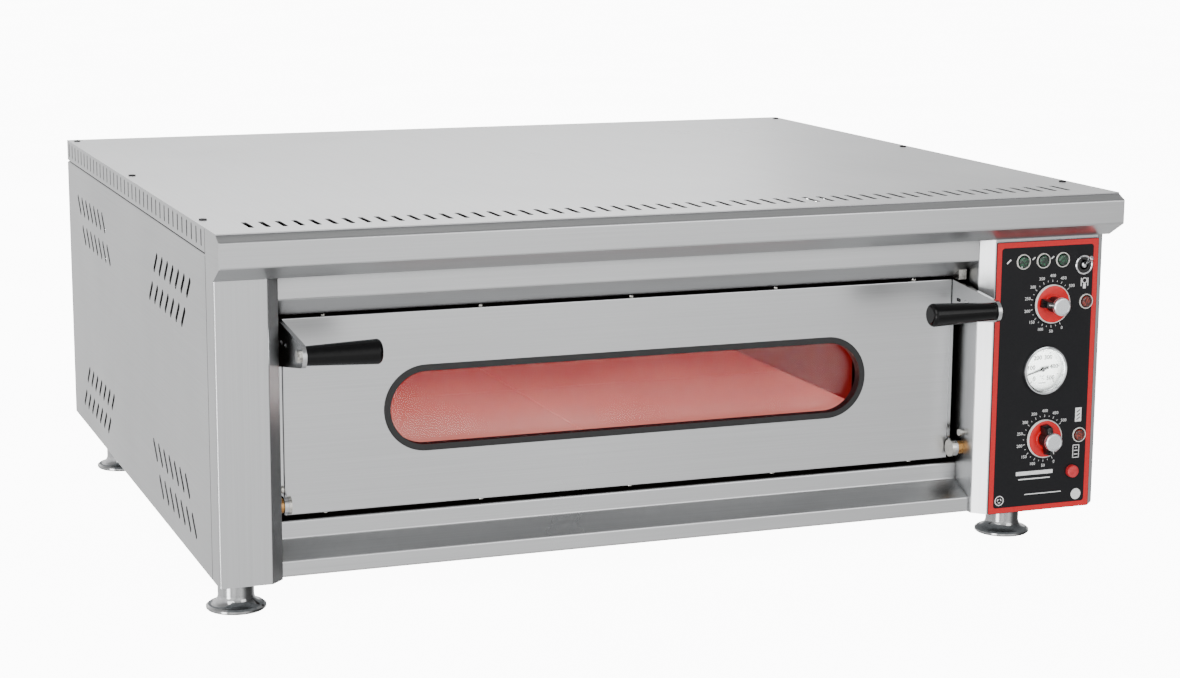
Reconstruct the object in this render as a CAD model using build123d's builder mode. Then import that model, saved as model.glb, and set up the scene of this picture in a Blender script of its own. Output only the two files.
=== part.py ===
from build123d import *
from math import cos, radians, sin
import os

# Single-deck electric baking oven in stainless sheet, on four feet.
# +X is the user's right, the door faces -Y, Z = 0 is the surface the feet stand on, and the
# origin is under the middle of the object's box.
os.makedirs("parts", exist_ok=True)

# Overall sizes, millimetres
BODY_W = 1200.0
BODY_D = 1046.0
BODY_H = 426.0
FOOT_H = 39.0

# Sheet metal
SHEET = 1.5
BEND = 3.0
SEAM = 2.0

# Posts, control column and hood
POST_FACE = 64.0
BEVEL = 16.0
POST_RETURN = 40.0
COLUMN_W = 186.0
RECESS_D = 92.0
HOOD_OUT = 33.0
HOOD_BEVEL = 14.0
HOOD_BEVEL_DROP = 8.5
HOOD_FACE_LOW = 39.5
HOOD_LOW = 58.0
LINTEL_STRIP_LOW = 87.0
SOFFIT = 112.5
SILL_TOP = 60.0
SILL_STRIP_LOW = 37.0
SILL_NOSE_TOP = 20.0
SILL_NOSE_SETBACK = 22.0

# Deck and its vents
SKIRT_H = 30.0
DECK_SLOT = (48.0, 6.5)
DECK_SLOT_COUNT = 55
DECK_SLOT_PITCH = 20.3
DECK_SLOT_SETBACK = 44.0
SKIRT_SLOT = (21.0, 5.5)
SKIRT_SLOT_COUNT = 36
SKIRT_SLOT_PITCH = 27.6
RAIL_W = 22.0
COVER_SCREW_EDGE = 11.5
COVER_SCREW_R = 2.1
COVER_SCREW_HEAD_R = 5.0
HOLE_EASE = 0.3

# Louvres in the side panels
LOUVRE_SLOT = (37.0, 8.0)
LOUVRE_PITCH = 34.5
LOUVRE_COUNT = 7
LOUVRE_ROW_PITCH = 42.0
LOUVRE_ROW_SHIFT = 36.0
LOUVRE_TOP_Z = 317.5
LOUVRE_LOW_Z = 62.5
LOUVRE_FROM_END = 222.0

# Door
DOOR_GAP = 14.0
DOOR_SETBACK = 60.0
DOOR_PAN_D = 22.0
DOOR_D = 28.0
DOOR_UNDER = 6.5
DOOR_OVER = 4.5
INNER_PAN_SHEET = 1.2
INNER_PAN_EASE = 0.5
WINDOW_W = 654.0
WINDOW_H = 108.0
GASKET_LIP = 8.0
GASKET_SLEEVE = 4.0
GASKET_PROUD = 1.5
GASKET_D = 12.0
GLASS = 4.0
GLASS_LAP = 10.0
DOOR_SCREW_COUNT = 5
DOOR_SCREW_PITCH = 200.0
DOOR_SCREW_R = 2.0
DOOR_SCREW_HEAD = (4.0, 2.0)

# Door arms, grips and hinge
ARM = 5.0
ARM_BAR_W = 20.0
GRIP_REACH = 50.0
GRIP_DROP = 25.0
GRIP_L = 92.0
GRIP_ROOT_R = 11.5
GRIP_END_R = 15.0
GRIP_BOLT_R = 4.0
GRIP_BOLT_HEAD_R = 7.5
GRIP_BOLT_HEAD_H = 4.5
ARM_TIP_R = 14.0
ARM_ROOT_H = 58.0
PIVOT_ABOVE_DOOR = 16.5
PIVOT_AHEAD = 13.0
PIVOT_R = 5.0
RUNNING_FIT = 0.05
EYE_R = 11.0
HINGE_HEAD_R = 11.5
HINGE_HEAD_H = 4.0
BUSH_R = 9.0
DOOR_SWING = 85.0
STOP_SCREW_R = 3.0
STOP_SCREW_HEAD = (4.5, 3.0)
STOP_SCREW_OUT = 8.0
STOP_SCREW_AHEAD = 7.0
STOP_SCREW_ABOVE = 22.0
ARM_SLOT = (11.0, 4.5)
ARM_SLOT_SETBACK = 41.0

# Baking chamber
CHAMBER_W = 850.0
CHAMBER_REAR_SPACE = 102.5
LINER_FLOOR = 62.0
LINER_TOP = 290.0
MOUTH_LOW = 100.0
MOUTH_TOP = 284.0
STONE = 16.0
STONE_GAP = 3.0
LEDGE_W = 12.0
ELEMENT_R = 4.25
ELEMENT_COUNT = 4
ELEMENT_PITCH = 200.0
ELEMENT_LEGS = 100.0
ELEMENT_TAIL = 8.0
SEAL_W = 9.0
SEAL_EASE = 0.3
LAMP_GLASS_R = 24.0
LAMP_GLASS_H = 16.0

# Chassis and feet
TRAY = 2.0
TRAY_FLANGE = 20.0
CHASSIS_H = 15.0
CHASSIS_W = 30.0
FOOT_R = 36.3
FOOT_TUBE_R = 22.0
FOOT_STUD_R = 5.0
FOOT_LEFT_X = 30.0
FOOT_RIGHT_X = 117.0
FOOT_FRONT_Y = 51.0
FOOT_REAR_Y = 815.0

# Control panel
FASCIA = 1.5
FASCIA_EDGE = 0.5
FASCIA_TOP_GAP = 4.0
KNOB_DIAL_R = 26.0
KNOB_DIAL_H = 3.0
KNOB_GAP = 1.0
KNOB_BAR = (42.0, 13.0)
KNOB_BAR_H = 18.0
KNOB_HUB_R = 11.5
KNOB_HUB_H = 25.0
SHAFT_R = 3.0
THERMOSTAT = (44.0, 34.0)
GAUGE_R = 33.0
GAUGE_BODY_R = 30.0
GAUGE_BORE_R = 29.0
GAUGE_PROUD = 6.5
GAUGE_BODY_D = 32.0
DIAL_DEPTH = 3.0
LAMP_R = 10.2
LAMP_LENS_R = 7.2
LAMP_BODY_R = 8.5
LAMP_PROUD = 2.5
SWITCH_R = 13.0
SWITCH_BODY_R = 10.0
SWITCH_MOUTH_R = 6.5
LEVER_BALL_R = 4.5
LEVER_L = 23.0
LEVER_TILT = 32.0
BUTTON_R = 8.5
BUTTON_EASE = 0.3
BUTTON_PROUD = 7.0
BUTTON_TRAVEL = 4.0
BUTTON_TAIL = 6.0
BUTTON_BODY_D = 28.0
GLAND_OUT = 18.0
GLAND_R = 13.0
GLAND_BORE_R = 6.0

# Places that follow from the sizes
DEPTH = GRIP_REACH + GRIP_END_R + BODY_D + GLAND_OUT
FOOT_OVERHANG = FOOT_R - FOOT_LEFT_X
LEFT = (FOOT_OVERHANG - BODY_W) / 2
RIGHT = LEFT + BODY_W
CENTRE = (LEFT + RIGHT) / 2
FRONT = -DEPTH / 2 + GRIP_REACH + GRIP_END_R
BACK = FRONT + BODY_D
BASE = FOOT_H
TOP = BASE + BODY_H
POST_IN = LEFT + POST_FACE + BEVEL
COLUMN_IN = RIGHT - COLUMN_W
MID = (POST_IN + COLUMN_IN) / 2
PANEL_FRONT = FRONT + POST_RETURN + SEAM
PANEL_TOP = TOP - SKIRT_H - SEAM
DECK_FRONT = FRONT - HOOD_OUT + HOOD_BEVEL
RECESS = FRONT + RECESS_D
DOOR_L = POST_IN + DOOR_GAP
DOOR_R = COLUMN_IN - DOOR_GAP
DOOR_W = DOOR_R - DOOR_L
DOOR_LOW = BASE + SILL_TOP + DOOR_UNDER
DOOR_TOP = TOP - SOFFIT - DOOR_OVER
DOOR_H = DOOR_TOP - DOOR_LOW
DOOR_FACE = FRONT + DOOR_SETBACK
DOOR_BACK = DOOR_FACE + DOOR_D
WINDOW_Z = (DOOR_LOW + DOOR_TOP) / 2
PIVOT_Y = DOOR_FACE - PIVOT_AHEAD
PIVOT_Z = DOOR_LOW + PIVOT_ABOVE_DOOR
GRIP_Y = FRONT - GRIP_REACH
GRIP_Z = DOOR_TOP - GRIP_DROP
CHAMBER_L = MID - CHAMBER_W / 2
CHAMBER_R = MID + CHAMBER_W / 2
CHAMBER_FRONT = RECESS + SHEET
CHAMBER_BACK = BACK - CHAMBER_REAR_SPACE
CHAMBER_D = CHAMBER_BACK - CHAMBER_FRONT
INSULATION = LINER_FLOOR - SHEET - TRAY - CHASSIS_H
STONE_TOP = BASE + MOUTH_LOW
PANEL_X = (COLUMN_IN + BEVEL + RIGHT - BEVEL) / 2
PANEL_W = COLUMN_W - 2 * BEVEL
FASCIA_FACE = FRONT - FASCIA
GREEN_LAMPS = [(PANEL_X + dx, TOP - 88.5) for dx in (-37.0, -7.0, 22.0)]
SWITCH_AT = (PANEL_X + 55.0, TOP - 97.0)
UPPER_KNOB_AT = (PANEL_X + 8.0, TOP - 146.5)
LOWER_KNOB_AT = (PANEL_X + 4.0, BASE + 98.0)
AMBER_LAMPS = [(PANEL_X + 60.0, TOP - 146.0), (PANEL_X + 58.0, BASE + 99.0)]
GAUGE_AT = (PANEL_X + 1.0, BASE + 191.0)
BUTTON_AT = (PANEL_X + 49.0, BASE + 50.0)


def keep(piece, name):
    """Label a finished piece and write its STEP file."""
    piece.part.label = name
    export_step(piece.part, f"parts/{name}.step")


def across(y):
    """Upright plane facing the front at depth y, its own axes X and Z."""
    return Plane(origin=(0, y, 0), x_dir=(1, 0, 0), z_dir=(0, -1, 0))


def folded_sheet(points, sheet=SHEET, bend=BEND):
    """Outline of a sheet folded along its outer face, with the metal on the left of the run."""
    with BuildSketch() as outline:
        with BuildLine():
            FilletPolyline(*points, radius=bend)
            offset(amount=sheet, side=Side.LEFT)
        make_face()
    return outline.sketch


def block(x0, x1, y0, y1, z0, z1, mode=Mode.PRIVATE):
    """Box between two corners."""
    return Pos((x0 + x1) / 2, (y0 + y1) / 2, (z0 + z1) / 2) * Box(x1 - x0, y1 - y0, z1 - z0, mode=mode)


# ---------------------------------------------------------------- chassis and feet
FEET = {
    "front_left": (LEFT + FOOT_LEFT_X, FRONT + FOOT_FRONT_Y),
    "front_right": (RIGHT - FOOT_RIGHT_X, FRONT + FOOT_FRONT_Y),
    "rear_left": (LEFT + FOOT_LEFT_X, FRONT + FOOT_REAR_Y),
    "rear_right": (RIGHT - FOOT_RIGHT_X, FRONT + FOOT_REAR_Y),
}

for corner, (foot_x, foot_y) in FEET.items():
    with BuildPart() as foot:
        with BuildSketch(Plane(origin=(foot_x, foot_y, 0), x_dir=(1, 0, 0), z_dir=(0, -1, 0))):
            with BuildLine():
                Polyline((0, 0), (FOOT_R - 1.5, 0), (FOOT_R, 1.5), (FOOT_R, 4.0), (FOOT_R - 2.5, 6.0))
                ThreePointArc((FOOT_R - 2.5, 6.0), (FOOT_TUBE_R + 3.2, 9.8), (FOOT_TUBE_R, 19.0))
                Polyline((FOOT_TUBE_R, 19.0), (FOOT_TUBE_R, FOOT_H), (FOOT_STUD_R, FOOT_H))
                Polyline((FOOT_STUD_R, FOOT_H), (FOOT_STUD_R, FOOT_H + TRAY + CHASSIS_H),
                         (0, FOOT_H + TRAY + CHASSIS_H), (0, 0))
            make_face()
        revolve(axis=Axis((foot_x, foot_y, 0), (0, 0, 1)))
    keep(foot, f"foot_{corner}")

TRAY_FRONT = RECESS
with BuildPart() as base_tray:
    with BuildSketch(Plane.XY.offset(BASE)):
        with BuildLine():
            Polyline((LEFT + SHEET, BACK - SHEET), (LEFT + SHEET, FRONT + SHEET + 2),
                     (POST_IN - BEVEL - SHEET - 2, FRONT + SHEET + 2),
                     (POST_IN - SHEET, FRONT + BEVEL + 4), (POST_IN - SHEET, TRAY_FRONT),
                     (COLUMN_IN + SHEET, TRAY_FRONT), (COLUMN_IN + SHEET, FRONT + BEVEL + 4),
                     (COLUMN_IN + BEVEL + SHEET + 2, FRONT + SHEET + 2),
                     (RIGHT - BEVEL - SHEET - 2, FRONT + SHEET + 2),
                     (RIGHT - SHEET, FRONT + BEVEL + 4), (RIGHT - SHEET, BACK - SHEET), close=True)
        make_face()
    extrude(amount=TRAY)
    for x0 in (LEFT + SHEET, RIGHT - SHEET - TRAY):
        add(block(x0, x0 + TRAY, PANEL_FRONT, BACK - SHEET, BASE, BASE + TRAY_FLANGE))
    add(block(LEFT + SHEET, RIGHT - SHEET, BACK - SHEET - TRAY, BACK - SHEET, BASE, BASE + TRAY_FLANGE))
    with BuildSketch(Plane.XY.offset(BASE)):
        with Locations(*FEET.values()):
            Circle(FOOT_STUD_R + HOLE_EASE)
    extrude(amount=TRAY, mode=Mode.SUBTRACT)
keep(base_tray, "base_tray")

CHASSIS_Z = BASE + TRAY
CHASSIS_BACK = BACK - 60.0
with BuildPart() as chassis_frame:
    with BuildSketch(Plane.XY.offset(CHASSIS_Z)):
        for rail_x in (LEFT + FOOT_LEFT_X, RIGHT - FOOT_RIGHT_X):
            with Locations((rail_x, (FRONT + 22 + CHASSIS_BACK) / 2)):
                Rectangle(CHASSIS_W, CHASSIS_BACK - FRONT - 22)
        for rail_y in (CHAMBER_FRONT + 40, (CHAMBER_FRONT + CHAMBER_BACK) / 2, CHAMBER_BACK - 10):
            with Locations(((LEFT + FOOT_LEFT_X + RIGHT - FOOT_RIGHT_X) / 2, rail_y)):
                Rectangle(BODY_W - FOOT_LEFT_X - FOOT_RIGHT_X, CHASSIS_W)
    extrude(amount=CHASSIS_H)
    with BuildSketch(Plane.XY.offset(CHASSIS_Z)):
        with Locations(*FEET.values()):
            Circle(FOOT_STUD_R + HOLE_EASE)
    extrude(amount=CHASSIS_H, mode=Mode.SUBTRACT)
keep(chassis_frame, "chassis_frame")

# ---------------------------------------------------------------- posts
POST_TOP = TOP - HOOD_LOW
POST_H = POST_TOP - BASE


STOP_SCREW_AT = (PIVOT_Y - STOP_SCREW_AHEAD, PIVOT_Z + STOP_SCREW_ABOVE)


def hinge_cuts(wall_x):
    """Cutters for one recess wall: the bush hole and the hole of the stop screw."""
    with BuildPart() as cuts:
        with BuildSketch(Plane.YZ.offset(wall_x - 4 * SHEET)):
            with Locations((PIVOT_Y, PIVOT_Z)):
                Circle(BUSH_R - 2)
            with Locations(STOP_SCREW_AT):
                Circle(STOP_SCREW_R)
        extrude(amount=8 * SHEET)
    return cuts.part


with BuildPart() as left_post:
    with BuildSketch(Plane.XY.offset(BASE)):
        add(folded_sheet([(LEFT, FRONT + POST_RETURN), (LEFT, FRONT), (POST_IN - BEVEL, FRONT),
                          (POST_IN, FRONT + BEVEL), (POST_IN, RECESS)]))
    extrude(amount=POST_H)
    add(hinge_cuts(POST_IN), mode=Mode.SUBTRACT)
keep(left_post, "left_post")


def panel_holes(ease):
    """Outlines of the openings for every control, each with the same ease."""
    with BuildSketch() as holes:
        with Locations(*GREEN_LAMPS, *AMBER_LAMPS):
            Circle(LAMP_BODY_R + ease)
        with Locations(UPPER_KNOB_AT, LOWER_KNOB_AT):
            Circle(SHAFT_R + 1.5 + ease)
        with Locations(GAUGE_AT):
            Circle(GAUGE_BODY_R + ease)
        with Locations(SWITCH_AT):
            Circle(SWITCH_BODY_R + ease)
        with Locations(BUTTON_AT):
            Circle(BUTTON_R + ease)
    return holes.sketch


with BuildPart() as control_column:
    with BuildSketch(Plane.XY.offset(BASE)):
        add(folded_sheet([(COLUMN_IN, RECESS), (COLUMN_IN, FRONT + BEVEL), (COLUMN_IN + BEVEL, FRONT),
                          (RIGHT - BEVEL, FRONT), (RIGHT, FRONT + BEVEL), (RIGHT, FRONT + POST_RETURN)]))
    extrude(amount=POST_H)
    add(hinge_cuts(COLUMN_IN), mode=Mode.SUBTRACT)
    with BuildSketch(across(FRONT - 1)):
        add(panel_holes(BUTTON_EASE))
    extrude(amount=-(SHEET + 2), mode=Mode.SUBTRACT)
keep(control_column, "control_column")

with BuildPart() as control_fascia:
    with BuildSketch(across(FRONT)):
        with Locations((PANEL_X, (BASE + POST_TOP - FASCIA_TOP_GAP) / 2)):
            RectangleRounded(PANEL_W - 2 * FASCIA_EDGE, POST_H - FASCIA_TOP_GAP, 2)
        add(panel_holes(BUTTON_EASE), mode=Mode.SUBTRACT)
    extrude(amount=FASCIA)
keep(control_fascia, "control_fascia")

# ---------------------------------------------------------------- hood, lintel and sill
HOOD_POINTS = [(DECK_FRONT + 0.5, TOP - SHEET), (FRONT - HOOD_OUT, TOP - HOOD_BEVEL_DROP),
               (FRONT - HOOD_OUT, TOP - HOOD_FACE_LOW), (FRONT, TOP - HOOD_LOW)]

with BuildPart() as front_hood:
    with BuildSketch(Plane.YZ.offset(LEFT + SHEET)):
        add(folded_sheet([(FRONT + 20, TOP - SHEET), *HOOD_POINTS, (FRONT + BEVEL, TOP - HOOD_LOW)]))
    extrude(amount=BODY_W - 2 * SHEET)
keep(front_hood, "front_hood")

with BuildPart() as hood_end_caps:
    for cap_x in (LEFT, RIGHT - SHEET):
        with BuildSketch(Plane.YZ.offset(cap_x)):
            with BuildLine():
                Polyline((FRONT + POST_RETURN, TOP - SHEET), *HOOD_POINTS,
                         (FRONT + POST_RETURN, TOP - HOOD_LOW), close=True)
            make_face()
        extrude(amount=SHEET)
keep(hood_end_caps, "hood_end_caps")

with BuildPart() as lintel_panel:
    with BuildSketch(Plane.YZ.offset(POST_IN)):
        add(folded_sheet([(FRONT + BEVEL, TOP - SHEET - 15), (FRONT + BEVEL, TOP - LINTEL_STRIP_LOW),
                          (DOOR_FACE, TOP - SOFFIT), (RECESS, TOP - SOFFIT)]))
    extrude(amount=COLUMN_IN - POST_IN)
keep(lintel_panel, "lintel_panel")

with BuildPart() as sill_panel:
    with BuildSketch(Plane.YZ.offset(POST_IN)):
        add(folded_sheet([(RECESS, BASE + SILL_TOP), (DOOR_FACE, BASE + SILL_TOP),
                          (DOOR_FACE, BASE + SILL_STRIP_LOW),
                          (FRONT + SILL_NOSE_SETBACK, BASE + SILL_NOSE_TOP),
                          (FRONT + SILL_NOSE_SETBACK, BASE), (TRAY_FRONT, BASE)]))
    extrude(amount=COLUMN_IN - POST_IN)
keep(sill_panel, "sill_panel")

# ---------------------------------------------------------------- side panels, rear panel, deck


def louvre_group(centre_y, centre_z, slant):
    """Two rows of slanted slots; slant is 1 where they lean back as they rise, else -1."""
    slots = []
    for row in (0.5, -0.5):
        for i in range(LOUVRE_COUNT):
            along = (i - (LOUVRE_COUNT - 1) / 2) * LOUVRE_PITCH + row * slant * LOUVRE_ROW_SHIFT
            place = Pos(centre_y + along, centre_z + row * LOUVRE_ROW_PITCH)
            slots.append(place * Rot(0, 0, 45 * slant))
    return slots


SIDE_MID = (PANEL_FRONT + BACK) / 2
SIDE_REACH = (BACK - PANEL_FRONT) / 2 - LOUVRE_FROM_END

with BuildPart() as left_side_panel:
    with BuildSketch(across(PANEL_FRONT)):
        add(folded_sheet([(LEFT + RAIL_W + 2, PANEL_TOP), (LEFT, PANEL_TOP), (LEFT, BASE)]))
    extrude(amount=-(BACK - PANEL_FRONT))
    with BuildSketch(Plane.YZ.offset(LEFT - 1)):
        for end, height, slant in ((-1, LOUVRE_TOP_Z, -1), (1, LOUVRE_TOP_Z, 1),
                                   (-1, LOUVRE_LOW_Z, 1), (1, LOUVRE_LOW_Z, -1)):
            with Locations(*louvre_group(SIDE_MID + end * SIDE_REACH, BASE + height, slant)):
                SlotOverall(*LOUVRE_SLOT)
    extrude(amount=SHEET + 2, mode=Mode.SUBTRACT)
keep(left_side_panel, "left_side_panel")

with BuildPart() as right_side_panel:
    mirror(left_side_panel.part, about=Plane.YZ.offset(CENTRE))
keep(right_side_panel, "right_side_panel")

GLAND_AT = (RIGHT - 70, BASE + 60)
with BuildPart() as rear_panel:
    with BuildSketch(across(BACK)):
        with Locations((CENTRE, (BASE + PANEL_TOP - SHEET) / 2)):
            Rectangle(BODY_W - 2 * SHEET, PANEL_TOP - SHEET - BASE)
        with Locations((RIGHT - 110, BASE + 220), (LEFT + 110, BASE + 220)):
            with GridLocations(18, 70, 7, 3):
                SlotOverall(44, 5, rotation=90, mode=Mode.SUBTRACT)
        with Locations(GLAND_AT):
            Circle(GLAND_BORE_R + 2, mode=Mode.SUBTRACT)
    extrude(amount=SHEET)
keep(rear_panel, "rear_panel")

COVER_SCREWS = [(CENTRE + side * (BODY_W / 2 - COVER_SCREW_EDGE), y) for side in (-1, 1)
                for y in (FRONT + 103, (FRONT + 103 + BACK - 25) / 2, BACK - 25)]
with BuildPart() as top_cover:
    add(block(LEFT, RIGHT, DECK_FRONT, BACK, TOP - SHEET, TOP))
    for skirt_x in (LEFT, RIGHT - SHEET):
        add(block(skirt_x, skirt_x + SHEET, PANEL_FRONT, BACK, TOP - SKIRT_H, TOP))
    add(block(LEFT, RIGHT, BACK - SHEET, BACK, TOP - SKIRT_H, TOP))
    with BuildSketch(Plane.XY.offset(TOP - SHEET)):
        with Locations((CENTRE, FRONT + DECK_SLOT_SETBACK)):
            with GridLocations(DECK_SLOT_PITCH, 1, DECK_SLOT_COUNT, 1):
                SlotOverall(*DECK_SLOT, rotation=90)
        with Locations(*COVER_SCREWS):
            Circle(COVER_SCREW_R + HOLE_EASE)
    extrude(amount=SHEET, mode=Mode.SUBTRACT)
    with BuildSketch(Plane.YZ.offset(LEFT)):
        with Locations(((PANEL_FRONT + BACK) / 2, TOP - SKIRT_H / 2 + 0.5)):
            with GridLocations(SKIRT_SLOT_PITCH, 1, SKIRT_SLOT_COUNT, 1):
                SlotOverall(*SKIRT_SLOT, rotation=90)
    extrude(amount=BODY_W, mode=Mode.SUBTRACT)
keep(top_cover, "top_cover")

with BuildPart() as deck_rails:
    with BuildSketch(across(PANEL_FRONT)):
        add(folded_sheet([(LEFT + RAIL_W, PANEL_TOP), (LEFT + RAIL_W, TOP - SHEET),
                          (LEFT + SHEET, TOP - SHEET)]))
        mirror(about=Plane.YZ.offset(CENTRE))
    extrude(amount=-(BACK - SHEET - PANEL_FRONT))
    with BuildSketch(Plane.XY.offset(TOP)):
        with Locations(*COVER_SCREWS):
            Circle(COVER_SCREW_R + HOLE_EASE)
    extrude(amount=-4 * SHEET, mode=Mode.SUBTRACT)
keep(deck_rails, "deck_rails")

with BuildPart() as cover_screws:
    with BuildSketch(Plane.XY.offset(TOP)):
        with Locations(*COVER_SCREWS):
            Circle(COVER_SCREW_HEAD_R)
    extrude(amount=1.8)
    fillet(edges().group_by(Axis.Z)[-1], 1.2)
    with BuildSketch(Plane.XY.offset(TOP)):
        with Locations(*COVER_SCREWS):
            Circle(COVER_SCREW_R)
    extrude(amount=-8)
keep(cover_screws, "cover_screws")

# ---------------------------------------------------------------- baking chamber
with BuildPart() as chamber_front_frame:
    with BuildSketch(across(CHAMBER_FRONT)):
        with Locations((MID, BASE + (40 + BODY_H - 90) / 2)):
            Rectangle(COLUMN_IN - POST_IN + 20, BODY_H - 90 - 40)
        with Locations((MID, BASE + (MOUTH_LOW + MOUTH_TOP) / 2)):
            Rectangle(CHAMBER_W, MOUTH_TOP - MOUTH_LOW, mode=Mode.SUBTRACT)
    extrude(amount=SHEET)
keep(chamber_front_frame, "chamber_front_frame")

ELEMENT_X = [MID + (i - (ELEMENT_COUNT - 1) / 2) * ELEMENT_PITCH for i in range(ELEMENT_COUNT)]
ELEMENT_LEG_X = [x + side * ELEMENT_LEGS / 2 for x in ELEMENT_X for side in (-1, 1)]
ELEMENT_LOW_Z = BASE + LINER_FLOOR + 10
ELEMENT_TOP_Z = BASE + LINER_TOP - 12
LAMP_AT = (CHAMBER_FRONT + 200, BASE + 220)

with BuildPart() as chamber_liner:
    add(block(CHAMBER_L - SHEET, CHAMBER_R + SHEET, CHAMBER_FRONT, CHAMBER_BACK + SHEET,
              BASE + LINER_FLOOR - SHEET, BASE + LINER_TOP + SHEET))
    add(block(CHAMBER_L, CHAMBER_R, CHAMBER_FRONT, CHAMBER_BACK,
              BASE + LINER_FLOOR, BASE + LINER_TOP), mode=Mode.SUBTRACT)
    for x0 in (CHAMBER_L, CHAMBER_R - LEDGE_W):
        add(block(x0, x0 + LEDGE_W, CHAMBER_FRONT, CHAMBER_BACK,
                  STONE_TOP - STONE - SHEET, STONE_TOP - STONE))
    add(block(MID - LEDGE_W, MID + LEDGE_W, CHAMBER_FRONT, CHAMBER_BACK,
              BASE + LINER_FLOOR, STONE_TOP - STONE))
    with BuildSketch(across(CHAMBER_BACK)):
        for leg_z in (ELEMENT_LOW_Z, ELEMENT_TOP_Z):
            with Locations(*[(x, leg_z) for x in ELEMENT_LEG_X]):
                Circle(ELEMENT_R + HOLE_EASE)
    extrude(amount=-SHEET, mode=Mode.SUBTRACT)
    with BuildSketch(Plane.YZ.offset(CHAMBER_R)):
        with Locations(LAMP_AT):
            Circle(LAMP_GLASS_R - 4)
    extrude(amount=SHEET, mode=Mode.SUBTRACT)
keep(chamber_liner, "chamber_liner")

TERMINAL_SPACE = 14.0
with BuildPart() as chamber_insulation:
    add(block(CHAMBER_L - SHEET - INSULATION, CHAMBER_R + SHEET + INSULATION,
              CHAMBER_FRONT, CHAMBER_BACK + SHEET + TERMINAL_SPACE + INSULATION,
              BASE + LINER_FLOOR - SHEET - INSULATION, BASE + LINER_TOP + SHEET + INSULATION))
    add(block(CHAMBER_L - SHEET, CHAMBER_R + SHEET, CHAMBER_FRONT,
              CHAMBER_BACK + SHEET + TERMINAL_SPACE,
              BASE + LINER_FLOOR - SHEET, BASE + LINER_TOP + SHEET), mode=Mode.SUBTRACT)
    with BuildSketch(Plane.YZ.offset(CHAMBER_R + SHEET)):
        with Locations(LAMP_AT):
            Circle(LAMP_GLASS_R + 6)
    extrude(amount=INSULATION, mode=Mode.SUBTRACT)
keep(chamber_insulation, "chamber_insulation")

with BuildPart() as baking_stones:
    tile_w = (CHAMBER_W - 3 * STONE_GAP) / 2
    tile_d = (CHAMBER_D - 3 * STONE_GAP) / 2
    with BuildSketch(Plane.XY.offset(STONE_TOP - STONE)):
        with Locations((MID, (CHAMBER_FRONT + CHAMBER_BACK) / 2)):
            with GridLocations(tile_w + STONE_GAP, tile_d + STONE_GAP, 2, 2):
                Rectangle(tile_w, tile_d)
    extrude(amount=STONE)
keep(baking_stones, "baking_stones")


def heating_elements(height):
    """A row of hairpin tubes that come in through the rear wall of the chamber."""
    with BuildPart() as elements:
        for x in ELEMENT_X:
            tail = CHAMBER_BACK + SHEET + ELEMENT_TAIL
            turn = CHAMBER_FRONT + 60 + ELEMENT_LEGS / 2
            half = ELEMENT_LEGS / 2
            with BuildLine() as hairpin:
                Line((x - half, tail, height), (x - half, turn, height))
                ThreePointArc((x - half, turn, height), (x, turn - half, height), (x + half, turn, height))
                Line((x + half, turn, height), (x + half, tail, height))
            with BuildSketch(Plane(origin=(x - half, tail, height), z_dir=(0, -1, 0))):
                Circle(ELEMENT_R)
            sweep(path=hairpin.line)
    return elements


keep(heating_elements(ELEMENT_TOP_Z), "top_heating_elements")
keep(heating_elements(ELEMENT_LOW_Z), "bottom_heating_elements")

with BuildPart() as oven_lamp_glass:
    with BuildSketch(Plane.YZ.offset(CHAMBER_R)):
        with Locations(LAMP_AT):
            Circle(LAMP_GLASS_R)
    extrude(amount=-LAMP_GLASS_H)
    fillet(edges().group_by(Axis.X)[0], 8)
keep(oven_lamp_glass, "oven_lamp_glass")

with BuildPart() as oven_lamp_holder:
    with BuildSketch(Plane.YZ.offset(CHAMBER_R + SHEET)):
        with Locations(LAMP_AT):
            Circle(LAMP_GLASS_R)
    extrude(amount=INSULATION)
    with BuildSketch(Plane.YZ.offset(CHAMBER_R)):
        with Locations(LAMP_AT):
            Circle(LAMP_GLASS_R - 5)
    extrude(amount=SHEET)
keep(oven_lamp_holder, "oven_lamp_holder")

with BuildPart() as door_seal:
    with BuildSketch(across(RECESS)):
        with Locations((MID, BASE + (MOUTH_LOW + MOUTH_TOP) / 2)):
            RectangleRounded(CHAMBER_W + 2 * SEAL_W + 6, MOUTH_TOP - MOUTH_LOW + 2 * SEAL_W + 6, 6)
            RectangleRounded(CHAMBER_W + 6, MOUTH_TOP - MOUTH_LOW + 6, 4, mode=Mode.SUBTRACT)
    extrude(amount=RECESS - DOOR_BACK - SEAL_EASE)
    fillet(edges().group_by(Axis.Y)[0], 1.5)
keep(door_seal, "door_seal")

# ---------------------------------------------------------------- door leaf


def window_outline(grow):
    """Stadium of the window grown by a margin all round, on the front plane of the leaf."""
    slot = SlotOverall(WINDOW_W + 2 * grow, WINDOW_H + 2 * grow, mode=Mode.PRIVATE)
    return Pos(MID, WINDOW_Z) * slot


DOOR_SCREW_X = [MID + (i - (DOOR_SCREW_COUNT - 1) / 2) * DOOR_SCREW_PITCH for i in range(DOOR_SCREW_COUNT)]
DOOR_SCREW_Y = DOOR_FACE + 9.0

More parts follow.
